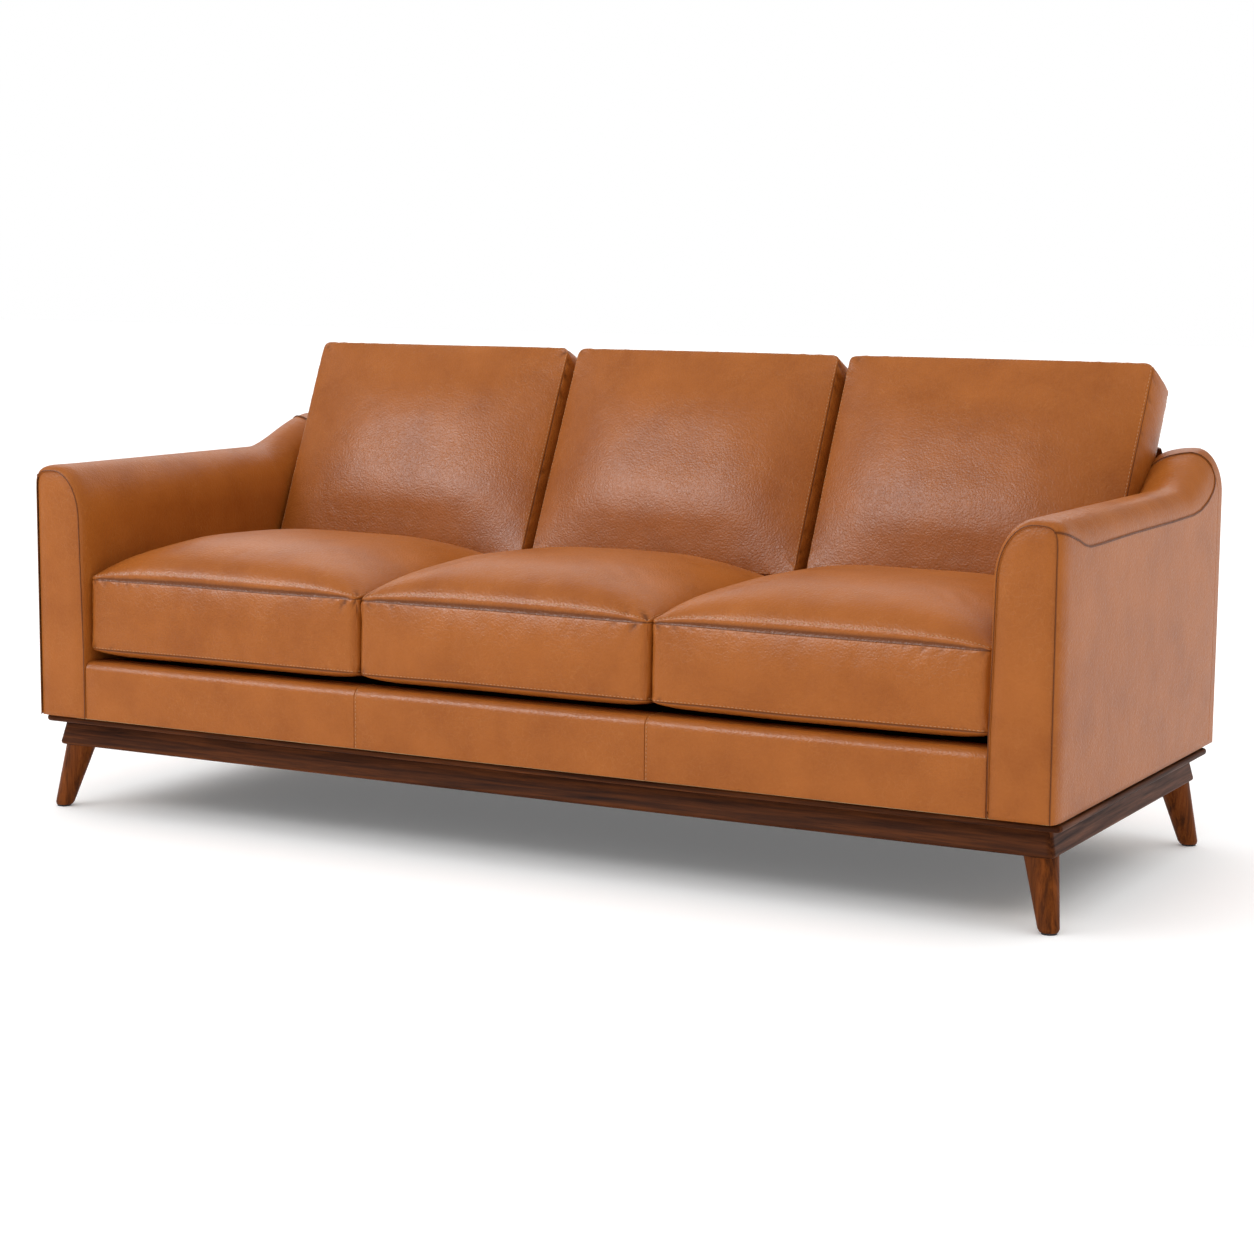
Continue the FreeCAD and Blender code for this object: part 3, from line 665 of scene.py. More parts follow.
@dataclass(frozen=True)
class MouldedNylon:
    """Moulded nylon or spun thread: one colour, faintly speckled, satin."""

    name: str
    colour: str
    roughness: float = 0.5
    speck: float = 2.0       # millimetres

    def build(self) -> bpy.types.Material:
        """Make the material."""
        material, tree, shader, place = new_material(self.name)
        speck = add_node(tree, "ShaderNodeTexNoise", {"Vector": place, "Scale": 1000 / self.speck,
                                                      "Detail": 2.0})
        tone = add_node(tree, "ShaderNodeMapRange", {0: speck.outputs[0], 1: 0.3, 2: 0.7,
                                                     3: 0.82, 4: 1.0})
        colour = add_node(tree, "ShaderNodeMix", {0: 1.0, 6: linear(self.colour),
                                                  7: tone.outputs[0]},
                          data_type="RGBA", blend_type="MULTIPLY")
        tree.links.new(colour.outputs[2], shader.inputs["Base Color"])
        bump = add_node(tree, "ShaderNodeBump", {"Height": speck.outputs[0], "Strength": 0.2,
                                                 "Distance": 0.2 * MM})
        tree.links.new(bump.outputs[0], shader.inputs["Normal"])
        shader.inputs["Roughness"].default_value = self.roughness
        return material


class Finishes:
    """Every material of the sofa, made once."""

    def __init__(self) -> None:
        """Make them all."""
        self.leather = SemiAnilineLeather().build()
        self.wood = {grain: Walnut(grain).build() for grain in Grain}
        self.leg = Walnut(Grain.ALONG_Z, light="#87461a", middle="#6a350f", dark="#43200a").build()
        self.timber = PlainSawnTimber("beech_planed", "#c9a678", "#a98254").build()
        self.plywood = PlainSawnTimber("birch_plywood", "#b9925f", "#94703f").build()
        self.black_cloth = WovenCloth("polypropylene_nonwoven_black", "#1c1c1c", "#080808").build()
        self.webbing = WovenCloth("webbing_woven_elastic", "#8d7a5e", "#5e4f3a", thread=2.4).build()
        self.foam = WovenCloth("polyurethane_foam_cut", "#ddd3a8", "#b9ad80", thread=1.6).build()
        self.spring = DrawnMetal("steel_wire_drawn_oiled", "#4d4f52").build()
        self.zinc = DrawnMetal("steel_zinc_plated", "#a5a5a0", 0.3).build()
        self.nylon = MouldedNylon("nylon_moulded_black", "#0c0c0c").build()
        self.thread = MouldedNylon("thread_bonded_polyester_tan", "#c08a58", 0.55, 1.0).build()
        self.zip_tape = WovenCloth("zip_tape_woven_brown", "#6a3d1e", "#43230f", thread=1.0).build()


def dress(piece: bpy.types.Object, material: bpy.types.Material) -> None:
    """Give a piece one material all over."""
    piece.data.materials.clear()
    piece.data.materials.append(material)


def seat_on(piece: bpy.types.Object, body: str, slot: str, *nodes: str) -> None:
    """Tie a finished piece to the frame.

    Args:
        piece: the object.
        body: the CAD body that it moves with.
        slot: the record's material slot; not used.
        nodes: the CAD nodes that it stands for.
    """
    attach(piece, body)
    if nodes:
        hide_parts(*nodes)


# ------------------------------------------------------------------ cushions
@dataclass
class BoxCushion:
    """A boxed cushion: face panel, border and underside, sewn along two seams.

    Its own axes: x across, y from its front or foot to its far end, z out of its face.
    """

    label: str
    width: float
    length: float
    border: float
    crown: float
    origin: Vector
    tilt: float
    across: tuple[float, float] = (3.5, 0.54)
    along: tuple[float, float] = (3.0, 0.58)
    crest: float = 0.8
    belly: float = 20 * MM
    corner: float = 16 * MM
    bulge: float = 4 * MM
    side_bulge: float = 0.8 * MM
    flare: tuple[float, float] = (0.0, 0.0)
    pucker: float = 2.3 * MM
    swell_cap: float = 8 * MM
    ease: float = 0.32       # share of a panel over which its swelling starts at a seam
    wave: float = 1.0 * MM   # the unevenness of the whole cushion, and its length
    wave_length: float = 0.34
    seed: int = 1

    def plan(self, u: Array, v: Array) -> tuple[Array, Array]:
        """Place in the rounded plan of a point of the square -1 to 1 by -1 to 1."""
        half_w, half_l = self.width / 2, self.length / 2
        x, y = u * half_w, v * half_l
        a = np.clip((np.abs(x) - (half_w - self.corner)) / self.corner, 0, 1)
        b = np.clip((np.abs(y) - (half_l - self.corner)) / self.corner, 0, 1)
        inside = (a > 0) & (b > 0)
        round_x = half_w - self.corner + self.corner * a * np.sqrt(1 - b * b / 2)
        round_y = half_l - self.corner + self.corner * b * np.sqrt(1 - a * a / 2)
        x = np.where(inside, np.sign(x) * round_x, x)
        y = np.where(inside, np.sign(y) * round_y, y)
        share = (y + half_l) / self.length
        side = np.where(x < 0, self.flare[0], self.flare[1])
        x = x + side * share * np.clip(np.abs(x) / half_w, 0, 1) * np.sign(x)
        return x, y + half_l

    def dome(self, u: Array, v: Array, height: float, crest: float, flat: float = 1.0) -> Array:
        """Height of a crowned panel over its own seam."""
        run = np.clip((v + 1) / 2, 0, 1)
        s = 2 * run**crest - 1
        g = np.clip(1 - np.abs(u) ** self.across[0], 0, 1) ** (self.across[1] * flat)
        h = np.clip(1 - np.abs(s) ** self.along[0], 0, 1) ** (self.along[1] * flat)
        return height * g * h

    def face(self, us: Array, vs: Array) -> Array:
        """Points of the face panel."""
        u, v = np.meshgrid(us, vs, indexing="ij")
        x, y = self.plan(u, v)
        return np.stack([x, y, self.border + self.dome(u, v, self.crown, self.crest)], -1)

    def under(self, us: Array, vs: Array) -> Array:
        """Points of the underside."""
        u, v = np.meshgrid(us, vs, indexing="ij")
        x, y = self.plan(u, v)
        inside = np.clip(1 - np.abs(u) ** 9, 0, 1) * np.clip(1 - np.abs(v) ** 9, 0, 1)
        return np.stack([x, y, -self.belly * inside**0.55], -1)

    def wall(self, side: int, along: Array, heights: Array) -> Array:
        """Points of one side of the border.

        Args:
            side: 0 front, 1 right, 2 back, 3 left.
            along: stations along the side, from -1 to 1 of the square.
            heights: heights over the lower seam.

        Returns:
            The points, stations by heights by 3.
        """
        a, z = np.meshgrid(along, heights, indexing="ij")
        ones = np.ones_like(a)
        u, v = [(a, -ones), (ones, a), (a, ones), (-ones, a)][side]
        x, y = self.plan(u, v)
        t = 2 * z / self.border - 1
        push = self.bulge if side in (0, 2) else self.side_bulge
        out = push * (1 - np.abs(t) ** 2.2) * np.clip(1 - np.abs(a) ** 12, 0, 1)
        way = [(0, -1), (1, 0), (0, 1), (-1, 0)][side]
        return np.stack([x + way[0] * out, y + way[1] * out, z], -1)

    def square(self, length: float, step: float, fine: bool) -> Array:
        """Stations from -1 to 1 along a side, close together at its ends."""
        if not fine:
            return np.linspace(-1, 1, int(round(length / step)) + 1)
        return stations(length, step) / (length / 2) - 1

    def panels(self, step: float, fine: bool) -> dict[str, Array]:
        """All six panels as grids of points."""
        us = self.square(self.width, step, fine)
        vs = self.square(self.length, step, fine)
        if fine:
            zs = stations(self.border, step)
        else:
            zs = np.linspace(0, self.border, int(round(self.border / step)) + 1)
        grids = {"face": self.face(us, vs), "under": self.under(us, vs)}
        for side, name in enumerate(("front", "right", "back", "left")):
            grids[name] = self.wall(side, us if side in (0, 2) else vs, zs)
        self.stations_of = {"u": us, "v": vs, "z": zs}
        return grids

    FLIPS = {"face": False, "under": True, "front": False, "right": False, "back": True,
             "left": True}

    def swell(self, step: float = 9 * MM) -> tuple[dict[str, Array], dict[str, Array]]:
        """Blow the cushion up with cloth and measure how far each point of it goes.

        Args:
            step: the cloth's mesh size.

        Returns:
            The coarse stations, and each panel's displacements.
        """
        grids = self.panels(step, False)
        marks = dict(self.stations_of)
        skin = Skin()
        numbers = {name: skin.add(grid, flip=self.FLIPS[name]) for name, grid in grids.items()}
        skin.weld()
        cloth = skin.piece(self.label + "_cloth")
        start = skin.points.copy()
        pinned = np.zeros(len(start), bool)
        for name in ("front", "right", "back", "left"):
            ids = skin.panel(numbers[name])
            pinned[ids[:, 0]] = True
            pinned[ids[:, -1]] = True
        pinned[skin.panel(numbers["under"]).reshape(-1)] = True
        group = cloth.vertex_groups.new(name="sewn")
        group.add(np.nonzero(pinned)[0].tolist(), 1.0, "REPLACE")
        modifier = cloth.modifiers.new("Cloth", "CLOTH")
        settings = modifier.settings
        settings.vertex_group_mass = "sewn"
        settings.quality = 5
        settings.mass = 0.4
        settings.tension_stiffness = 12
        settings.compression_stiffness = 12
        settings.shear_stiffness = 4
        settings.bending_stiffness = 0.6
        settings.shrink_min = -0.008
        settings.use_pressure = True
        settings.uniform_pressure_force = 4.0
        settings.effector_weights.gravity = 0
        modifier.collision_settings.use_collision = False
        scene = bpy.context.scene
        for frame in range(1, 19):
            scene.frame_set(frame)
        shape = cloth.evaluated_get(bpy.context.evaluated_depsgraph_get())
        moved = np.zeros(len(start) * 3, np.float32)
        shape.data.vertices.foreach_get("co", moved)
        scene.frame_set(1)
        shift = moved.reshape(-1, 3) - start
        size = np.linalg.norm(shift, axis=1, keepdims=True)
        shift *= np.minimum(1, self.swell_cap / np.maximum(size, 1e-9))
        bpy.data.objects.remove(cloth)
        return marks, {name: calm(shift[skin.panel(number)]) for name, number in numbers.items()}

    def puckers(self, name: str, distance: Array, run: Array, reach: float) -> Array:
        """Small gathers that run away from a seam, strongest near the corners.

        Args:
            name: the panel, which picks the gathers.
            distance: how far each point is from the seam.
            run: how far along the seam it is.
            reach: the seam's length.

        Returns:
            How far each point stands out.
        """
        rng = np.random.default_rng(self.seed * 31 + len(name))
        corner = np.minimum(run, reach - run)
        slant = run + 0.55 * distance * np.sign(run - reach / 2)
        total = np.zeros_like(run)
        for _ in range(6):
            size = rng.uniform(19, 44) * MM
            total += np.sin(2 * math.pi * slant / size + rng.uniform(0, 6.28))
        patch = 0.5 + 0.5 * drift(np.stack([run, run * 0 + self.seed, distance * 0], -1), 0.16,
                                  self.seed + 5, 2)
        fall = np.exp(-distance / (20 * MM)) * np.clip(distance / (5 * MM), 0, 1)
        strength = 0.3 * patch + 0.9 * np.exp(-corner / (70 * MM))
        return self.pucker * total / 3 * fall * strength

    def place(self, points: Array) -> Array:
        """Turn the cushion's own axes into the sofa's."""
        c, s = math.cos(self.tilt), math.sin(self.tilt)
        x, y, z = points[..., 0], points[..., 1], points[..., 2]
        return np.stack([x + self.origin[0], self.origin[1] + y * c - z * s,
                         self.origin[2] + y * s + z * c], -1)

    def facing(self) -> Array:
        """The direction of the cushion's face in the sofa's axes."""
        return np.array([0.0, -math.sin(self.tilt), math.cos(self.tilt)])

    def swellings(self, grids: dict[str, Array], marks: dict[str, Array]) -> dict[str, Array]:
        """How far the filling pushes each point out.

        Args:
            grids: the fine panels.
            marks: their stations.

        Returns:
            Each panel's displacements, which start from nothing at its seams.
        """
        shifts = {name: np.zeros_like(grid) for name, grid in grids.items()}
        coarse, moved = self.swell()
        for name in grids:
            flat = name in ("face", "under")
            first = "u" if flat or name in ("front", "back") else "v"
            second = "v" if flat else "z"
            away = [np.minimum(m - m[0], m[-1] - m) / (m[-1] - m[0]) / self.ease
                    for m in (marks[first], marks[second])]
            ease = smooth(away[0])[:, None, None]
            if flat:
                ease = ease * smooth(away[1])[None, :, None]
            shifts[name] = ease * resample(moved[name], coarse[first], coarse[second],
                                           marks[first], marks[second])
        return shifts

    def build(self, step: float = 6.5 * MM) -> tuple[bpy.types.Object, Stitching]:
        """Make the cover and find its lines of stitches.

        Args:
            step: the spacing of the even part of the mesh.

        Returns:
            The cover, and its stitching before it is made.
        """
        grids = self.panels(step, True)
        marks = dict(self.stations_of)
        shifts = self.swellings(grids, marks)
        skin = Skin()
        numbers = {}
        half_w, half_l = self.width / 2, self.length / 2
        for name, grid in grids.items():
            if name in ("face", "under"):
                u, v = np.meshgrid(marks["u"], marks["v"], indexing="ij")
                to_side = (1 - np.abs(u)) * half_w
                to_end = (1 - np.abs(v)) * half_l
                kind = Edge.LAP if name == "face" else Edge.UNDER
                lift = np.where(to_side < to_end, kind.height(to_side), kind.height(to_end))
                if name == "face":
                    lift = lift + 0.6 * self.puckers(name, to_end, (u + 1) * half_w, self.width)
                    lift = lift + 0.6 * self.puckers(name + "_side", to_side, (v + 1) * half_l,
                                                     self.length)
            else:
                long = marks["u"] if name in ("front", "back") else marks["v"]
                reach = self.width if name in ("front", "back") else self.length
                a, z = np.meshgrid(long, marks["z"], indexing="ij")
                lift = np.where(z > self.border / 2, Edge.UNDER.height(self.border - z),
                                Edge.UNDER.height(z))
                run = (a + 1) * reach / 2
                lift = lift + self.puckers(name, self.border - z, run, reach)
                lift = lift + self.puckers(name + "_low", z, run, reach) * 0.55
            moved = self.place(grid + shifts[name])
            wobble = drift(moved, self.wave_length, self.seed + 11, 2)[..., None] * self.wave
            moved = moved + wobble * self.facing()
            numbers[name] = skin.add(moved, lift, self.FLIPS[name])
        skin.weld()
        cover = skin.piece(self.label)
        stitching = Stitching()
        face = skin.panel(numbers["face"])
        k = STITCH_ROW
        loop = [face[k:-k, k], face[-1 - k, k:-k], face[k:-k, -1 - k][::-1],
                face[k, k:-k][::-1]]
        for line in loop:
            stitching.along(skin.points[line], skin.normals[line])
        for name in ("front", "right", "left"):
            line = skin.panel(numbers[name])[k:-k, k - 1]
            stitching.along(skin.points[line], skin.normals[line])
        return cover, stitching


def calm(shift: Array, passes: int = 3) -> Array:
    """Even out a grid of displacements a little, leaving its sewn edges alone.

    Args:
        shift: vectors, rows by columns by 3.
        passes: how many times each point moves half-way to its neighbours' mean.

    Returns:
        The evened displacements.
    """
    shift = shift.copy()
    for _ in range(passes):
        around = (shift[:-2, 1:-1] + shift[2:, 1:-1] + shift[1:-1, :-2] + shift[1:-1, 2:]) / 4
        shift[1:-1, 1:-1] = (shift[1:-1, 1:-1] + around) / 2
    return shift


def resample(field_grid: Array, old_u: Array, old_v: Array, new_u: Array, new_v: Array) -> Array:
    """Read a grid of vectors at other stations, bending smoothly between the old ones.

    Args:
        field_grid: vectors, old_u by old_v by 3.
        old_u: its stations one way, evenly spaced.
        old_v: its stations the other way, evenly spaced.
        new_u: where it is wanted one way.
        new_v: where it is wanted the other way.

    Returns:
        Vectors, new_u by new_v by 3.
    """

    def weights(old: Array, new: Array) -> tuple[Array, Array]:
        """Four neighbours and their Catmull-Rom shares for each new station."""
        t = (new - old[0]) / (old[1] - old[0])
        i = np.clip(np.floor(t).astype(int), 0, len(old) - 2)
        f = t - i
        shares = np.stack([-0.5 * f + f**2 - 0.5 * f**3, 1 - 2.5 * f**2 + 1.5 * f**3,
                           0.5 * f + 2 * f**2 - 1.5 * f**3, -0.5 * f**2 + 0.5 * f**3], -1)
        places = np.clip(np.stack([i - 1, i, i + 1, i + 2], -1), 0, len(old) - 1)
        return places, shares

    pu, wu = weights(old_u, new_u)
    pv, wv = weights(old_v, new_v)
    first = np.einsum("ijvk,ij->ivk", field_grid[pu], wu)
    return np.einsum("uijk,ij->uik", first[:, pv], wv)


@dataclass
class CushionSet:
    """The six loose cushions with their covers, stitches and zips."""

    finishes: Finishes

    LEAN = math.radians(25.4)
    BACK_DEPTH = 0.108
    SEATS = (("left", -0.9125, -0.2985), ("middle", -0.2955, 0.2955), ("right", 0.2985, 0.9125))
    BACKS = (("left", -0.912, -0.3015), ("middle", -0.2985, 0.2985), ("right", 0.3015, 0.912))

    def seat(self, side: str, x0: float, x1: float, seed: int) -> BoxCushion:
        """One seat cushion."""
        return BoxCushion(
            label=f"seat_cushion_{side}", width=x1 - x0, length=0.651, border=0.133, crown=0.078,
            origin=Vector(((x0 + x1) / 2, FRONT_Y + 0.011, 0.3218)), tilt=-math.radians(1.5),
            bulge=6 * MM, seed=seed)

    def back(self, side: str, x0: float, x1: float, seed: int) -> BoxCushion:
        """One back cushion."""
        flare = {"left": (0.012, 0.0), "middle": (0.0, 0.0), "right": (0.0, 0.012)}[side]
        return BoxCushion(
            label=f"back_cushion_{side}", width=x1 - x0 - 0.018, length=0.458,
            border=self.BACK_DEPTH, crown=0.045,
            origin=Vector(((x0 + x1) / 2, 0.1539 + self.BACK_DEPTH * math.cos(self.LEAN),
                           0.4735 - self.BACK_DEPTH * math.sin(self.LEAN))),
            tilt=math.pi / 2 - self.LEAN, across=(2.4, 0.68), along=(2.0, 0.68), crest=1.0,
            belly=8 * MM, corner=17 * MM, bulge=8 * MM, side_bulge=8.5 * MM, flare=flare,
            seed=seed)

    def build(self) -> None:
        """Make every cushion."""
        for number, (side, x0, x1) in enumerate(self.SEATS):
            self.finish(self.seat(side, x0, x1, 3 + number), "seat", side)
        for number, (side, x0, x1) in enumerate(self.BACKS):
            self.finish(self.back(side, x0, x1, 13 + number), "back", side)

    def finish(self, cushion: BoxCushion, kind: str, side: str) -> None:
        """Make one cushion, dress it and tie it to its body."""
        body = f"{kind}_cushion_{side}"
        cover, stitching = cushion.build()
        dress(cover, self.finishes.leather)
        seat_on(cover, body, "cognac_leather", f"{kind}_cushion_cover_{side}",
                f"{kind}_cushion_core_{side}")
        thread = stitching.piece(f"{kind}_cushion_stitches_{side}")
        dress(thread, self.finishes.thread)
        seat_on(thread, body, "cognac_leather")
        LOG.info("%s: %d faces, %d stitch faces", cover.name, len(cover.data.polygons),
                 len(thread.data.polygons))


# ------------------------------------------------------------------ arms
def shell(piece: bpy.types.Object, thickness: float = 1.6 * MM) -> None:
    """Give an open panel its leather's thickness, inwards."""
    finish_modifier(piece, "SOLIDIFY", thickness=thickness, offset=-1.0, use_rim=True)


@dataclass
class RolledArm:
    """The right arm's leather: top and inner side, front panel, outer side and rear corner."""

    finishes: Finishes
    x_in: float = 0.914
    x_out: float = 1.030
    x_crown: float = 0.982
    crown_z: float = 0.668
    back_z: float = 0.730
    bottom_z: float = 0.1866
    drop_in: float = 0.100
    drop_in_back: float = 0.024
    drop_out: float = 0.052
    drop_back: float = 0.030
    rise: tuple[float, float] = (0.642, 0.850)
    front_in: float = 0.0095
    front_out: float = 0.009
    front_deep: float = 0.030
    rear_round: float = 0.018
    square: tuple[float, float, float] = (0.5, 0.8, 1.0)
    welt_size: float = 1.1 * MM
    seam_line: tuple[tuple[float, float], ...] = (
        (0.0, 0.650), (0.030, 0.643), (0.070, 0.632), (0.095, 0.623), (0.121, 0.6185),
        (0.146, 0.618), (0.180, 0.6185), (0.335, 0.621), (0.560, 0.622), (0.683, 0.624),
        (0.730, 0.629), (0.772, 0.641), (0.802, 0.655), (0.822, 0.668), (0.833, 0.682),
        (0.8385, 0.697),
    )

    def shoulder(self, y: Array) -> Array:
        """How square the outer shoulder is at y: squarest at the front, round at the back."""
        front, middle, back = self.square
        return front + (middle - front) * smooth(y / 0.09) + (back - middle) * self.climb(y)

    def side_swell(self, s: Array, y: Array) -> Array:
        """How far the padded outer side stands out."""
        length = np.clip(np.minimum(y, ARM_DEPTH - y) / 0.10, 0, 1)
        height = np.clip((4.0 - s) / 0.5, 0, 1)
        return 0.0025 * np.sin(length * math.pi / 2) * smooth(height)

    def climb(self, y: Array) -> Array:
        """How far the top has climbed to the back at y."""
        return smooth((y - self.rise[0]) / (self.rise[1] - self.rise[0]))

    def inset(self, y: Array) -> tuple[Array, Array]:
        """Shares, 1 to 0, by which the section has shrunk at the front and at the rear."""
        front = np.clip(1 - y / self.front_deep, 0, 1)
        rear = np.clip(1 - (ARM_DEPTH - y) / self.rear_round, 0, 1)
        return 1 - np.sqrt(1 - front**2), 1 - np.sqrt(1 - rear**2)

    def rear_line(self, y: Array, s: Array) -> Array:
        """Move y so that the rear seam leans forward over the arm's top."""
        lean = np.interp(s, [0, 1, 1.8, 2.3, 2.7, 3.0], [0.052, 0.052, 0.040, 0.020, 0.005, 0.0])
        full = 0.8385
        share = np.where(y <= full, smooth((y - 0.60) / (full - 0.60)),
                         np.clip((ARM_DEPTH - y) / (ARM_DEPTH - full), 0, 1))
        return y - lean * share

    def section(self, s: Array, y: Array) -> Array:
        """Points of the arm's surface.

        Args:
            s: 0 at the inner side's foot, 1 where the roll starts, 2 at the crown, 3 where the
                outer side starts, 4 at the outer side's foot.
            y: distance behind the arm's front.

        Returns:
            The points in the sofa's axes.
        """
        y = self.rear_line(y, s)
        k = self.climb(y)
        front, rear = self.inset(y)
        n = self.front_in * front + self.rear_round * rear
        m = self.front_out * front + self.rear_round * rear
        top = self.crown_z + (self.back_z - self.crown_z) * k
        drop = self.drop_in + (self.drop_in_back - self.drop_in) * k
        low_in = top - drop
        low_out = top - self.drop_out - self.drop_back * k
        x_in = self.x_in + n * np.clip(s, 0.35, 1)
        x_out = self.x_out - m + self.side_swell(s, y)
        top = top - n
        a = np.clip(s - 1, 0, 1) * math.pi / 2
        b = np.clip(s - 2, 0, 1) * math.pi / 2
        x = np.where(s < 2, self.x_crown - (self.x_crown - x_in) * np.cos(a),
                     self.x_crown + (x_out - self.x_crown) * np.sin(b))
        power = self.shoulder(y)
        outer_x, outer_z = np.sin(b) ** power, np.clip(np.cos(b), 0, 1) ** power
        x = np.where(s < 2, x, self.x_crown + (x_out - self.x_crown) * outer_x)
        z = np.where(s < 2, low_in + (top - low_in) * np.sin(a),
                     low_out + (top - low_out) * outer_z)
        z = np.where(s < 1, self.bottom_z + (low_in - self.bottom_z) * s, z)
        z = np.where(s > 3, low_out + (self.bottom_z - low_out) * (s - 3), z)
        return np.stack([x, FRONT_Y + y, z], -1)

    def seam_at(self, y: Array) -> Array:
        """The section parameter at which the long outer seam lies at y."""
        table = np.array(self.seam_line)
        height = np.interp(y, table[:, 0], table[:, 1])
        k = self.climb(y)
        top = self.crown_z + (self.back_z - self.crown_z) * k - self.front_in * self.inset(y)[0]
        low = self.crown_z + (self.back_z - self.crown_z) * k - self.drop_out - self.drop_back * k
        share = np.clip((height - low) / (top - low), 0, 1) ** (1 / self.shoulder(y))
        above = np.arccos(share) / (math.pi / 2)
        below = (low - height) / (low - self.bottom_z)
        return np.where(height >= low, 2 + above, 3 + np.clip(below, 0, 1))

    def depths(self, start: float, stop: float, inward: float, step: float = 8 * MM) -> Array:
        """Stations along the arm, even round its front curve, with seams at both ends.

        Args:
            start: the first one.
            stop: the last one.
            inward: how far the section shrinks at the front.
            step: the even spacing.

        Returns:
            Distances behind the arm's front.
        """
        turn = np.linspace(0, math.pi / 2, 200)
        y = self.front_deep * (1 - np.cos(turn))
        shrink = inward * (1 - np.sin(turn))
        y = np.append(y, ARM_DEPTH)
        shrink = np.append(shrink, 0.0)
        reach = np.concatenate([[0], np.cumsum(np.hypot(np.diff(y), np.diff(shrink)))])
        first, last = np.interp([start, stop], y, reach)
        return np.interp(first + stations(last - first, step), reach, y)

    def strip(self, ys: Array, first: Callable[[Array], Array], last: Callable[[Array], Array],
              step: float, seams: tuple[Edge, Edge, Edge, Edge]) -> tuple[Array, Array]:
        """Panel of the arm's surface between two lines that run along it.

        Args:
            ys: stations along the arm.
            first: the section parameter of the panel's inner edge at y.
            last: that of its outer edge.
            step: the even spacing round the section.
            seams: how the inner, outer, front and rear edges are sewn.

        Returns:
            The grid of points and their lift.
        """
        reference = self.run(first(ys[len(ys) // 2]), last(ys[len(ys) // 2]), ys[len(ys) // 2])
        rounds = stations(reference, step, seams[0] is not Edge.PLAIN, seams[1] is not Edge.PLAIN)
        grid = np.zeros((len(rounds), len(ys), 3))
        lift = np.zeros(grid.shape[:2])
        for j, y in enumerate(ys):
            s = np.linspace(float(first(y)), float(last(y)), 400)
            line = self.section(s, np.full_like(s, y))
            reach = np.concatenate([[0], np.cumsum(np.linalg.norm(np.diff(line, axis=0), axis=1))])
            at = rounds / reference * reach[-1]
            near = min(13.5 * MM, reach[-1] * 0.3)
            if seams[0] is not Edge.PLAIN:
                at = np.where(rounds <= 13.5 * MM, rounds * near / (13.5 * MM), at)
            if seams[1] is not Edge.PLAIN:
                at = np.where(reference - rounds <= 13.5 * MM,
                              reach[-1] - (reference - rounds) * near / (13.5 * MM), at)
            for k in range(3):
                grid[:, j, k] = np.interp(at, reach, line[:, k])
            lift[:, j] = seams[0].height(at) + seams[1].height(reach[-1] - at)
        steps = np.linalg.norm(np.diff(grid[len(grid) // 2], axis=0), axis=1)
        walk = np.concatenate([[0], np.cumsum(steps)])
        front = seams[2].height(walk)[None, :]
        rear = seams[3].height(walk[-1] - walk)[None, :]
        stacked = np.stack(np.broadcast_arrays(lift, front, rear))
        deepest = stacked.min(0)
        return grid, np.where(deepest < 0, deepest, stacked.max(0))

    def run(self, first: float, last: float, y: float) -> float:
        """Length round the section between two parameters."""
        s = np.linspace(float(first), float(last), 400)
        line = self.section(s, np.full_like(s, y))
        return float(np.linalg.norm(np.diff(line, axis=0), axis=1).sum())

    def top(self) -> Skin:
        """Inner side and rolled top, up to the long outer seam."""
        ys = self.depths(0.0, 0.8385, self.front_in)
        grid, lift = self.strip(ys, lambda y: np.zeros_like(y) + 0.0, self.seam_at, 7 * MM,
                                (Edge.PLAIN, Edge.TUCK_LAP, Edge.TUCK, Edge.TUCK_LAP))
        skin = Skin()
        skin.add(grid, lift, True)
        skin.weld()
        return skin

    def outer(self) -> Skin:
        """Outer side below the long seam, and the rear corner."""
        ys = self.depths(0.0, 0.8385, self.front_out, 10 * MM)
        grid, lift = self.strip(ys, self.seam_at, lambda y: np.zeros_like(y) + 4.0, 9 * MM,
                                (Edge.TUCK, Edge.PLAIN, Edge.UNDER, Edge.PLAIN))
        skin = Skin()
        skin.add(grid, lift, True)
        knee = float(self.seam_at(np.array(0.8385)))
        rear = 0.8385 + stations(ARM_DEPTH - 0.8385, 3 * MM, False, False)
        grid2, lift2 = self.strip(rear, lambda y: np.zeros_like(y) + knee,
                                  lambda y: np.zeros_like(y) + 4.0, 9 * MM,
                                  (Edge.TUCK, Edge.PLAIN, Edge.PLAIN, Edge.PLAIN))
        lift2[:] = 0
        grid2[:, 0] = grid[:, -1] if len(grid2) == len(grid) else grid2[:, 0]
        skin.add(grid2, lift2, True)
        grid3, lift3 = self.strip(rear, lambda y: np.zeros_like(y) + 0.6,
                                  lambda y: np.zeros_like(y) + knee, 8 * MM,
                                  (Edge.PLAIN, Edge.PLAIN, Edge.TUCK, Edge.PLAIN))
        skin.add(grid3, lift3, True)
        skin.weld()
        return skin

    def rear(self) -> Skin:
        """Rear panel, which closes the arm behind its rear corner."""
        s = np.linspace(1.0, 4.0, 600)
        line = self.section(s, np.full_like(s, ARM_DEPTH))
        edge = line[:, 0].max()
        top = line[:, 2] - 0.0002
        share = stations(edge - self.x_in, 6 * MM, True, False)
        xs = self.x_in + share
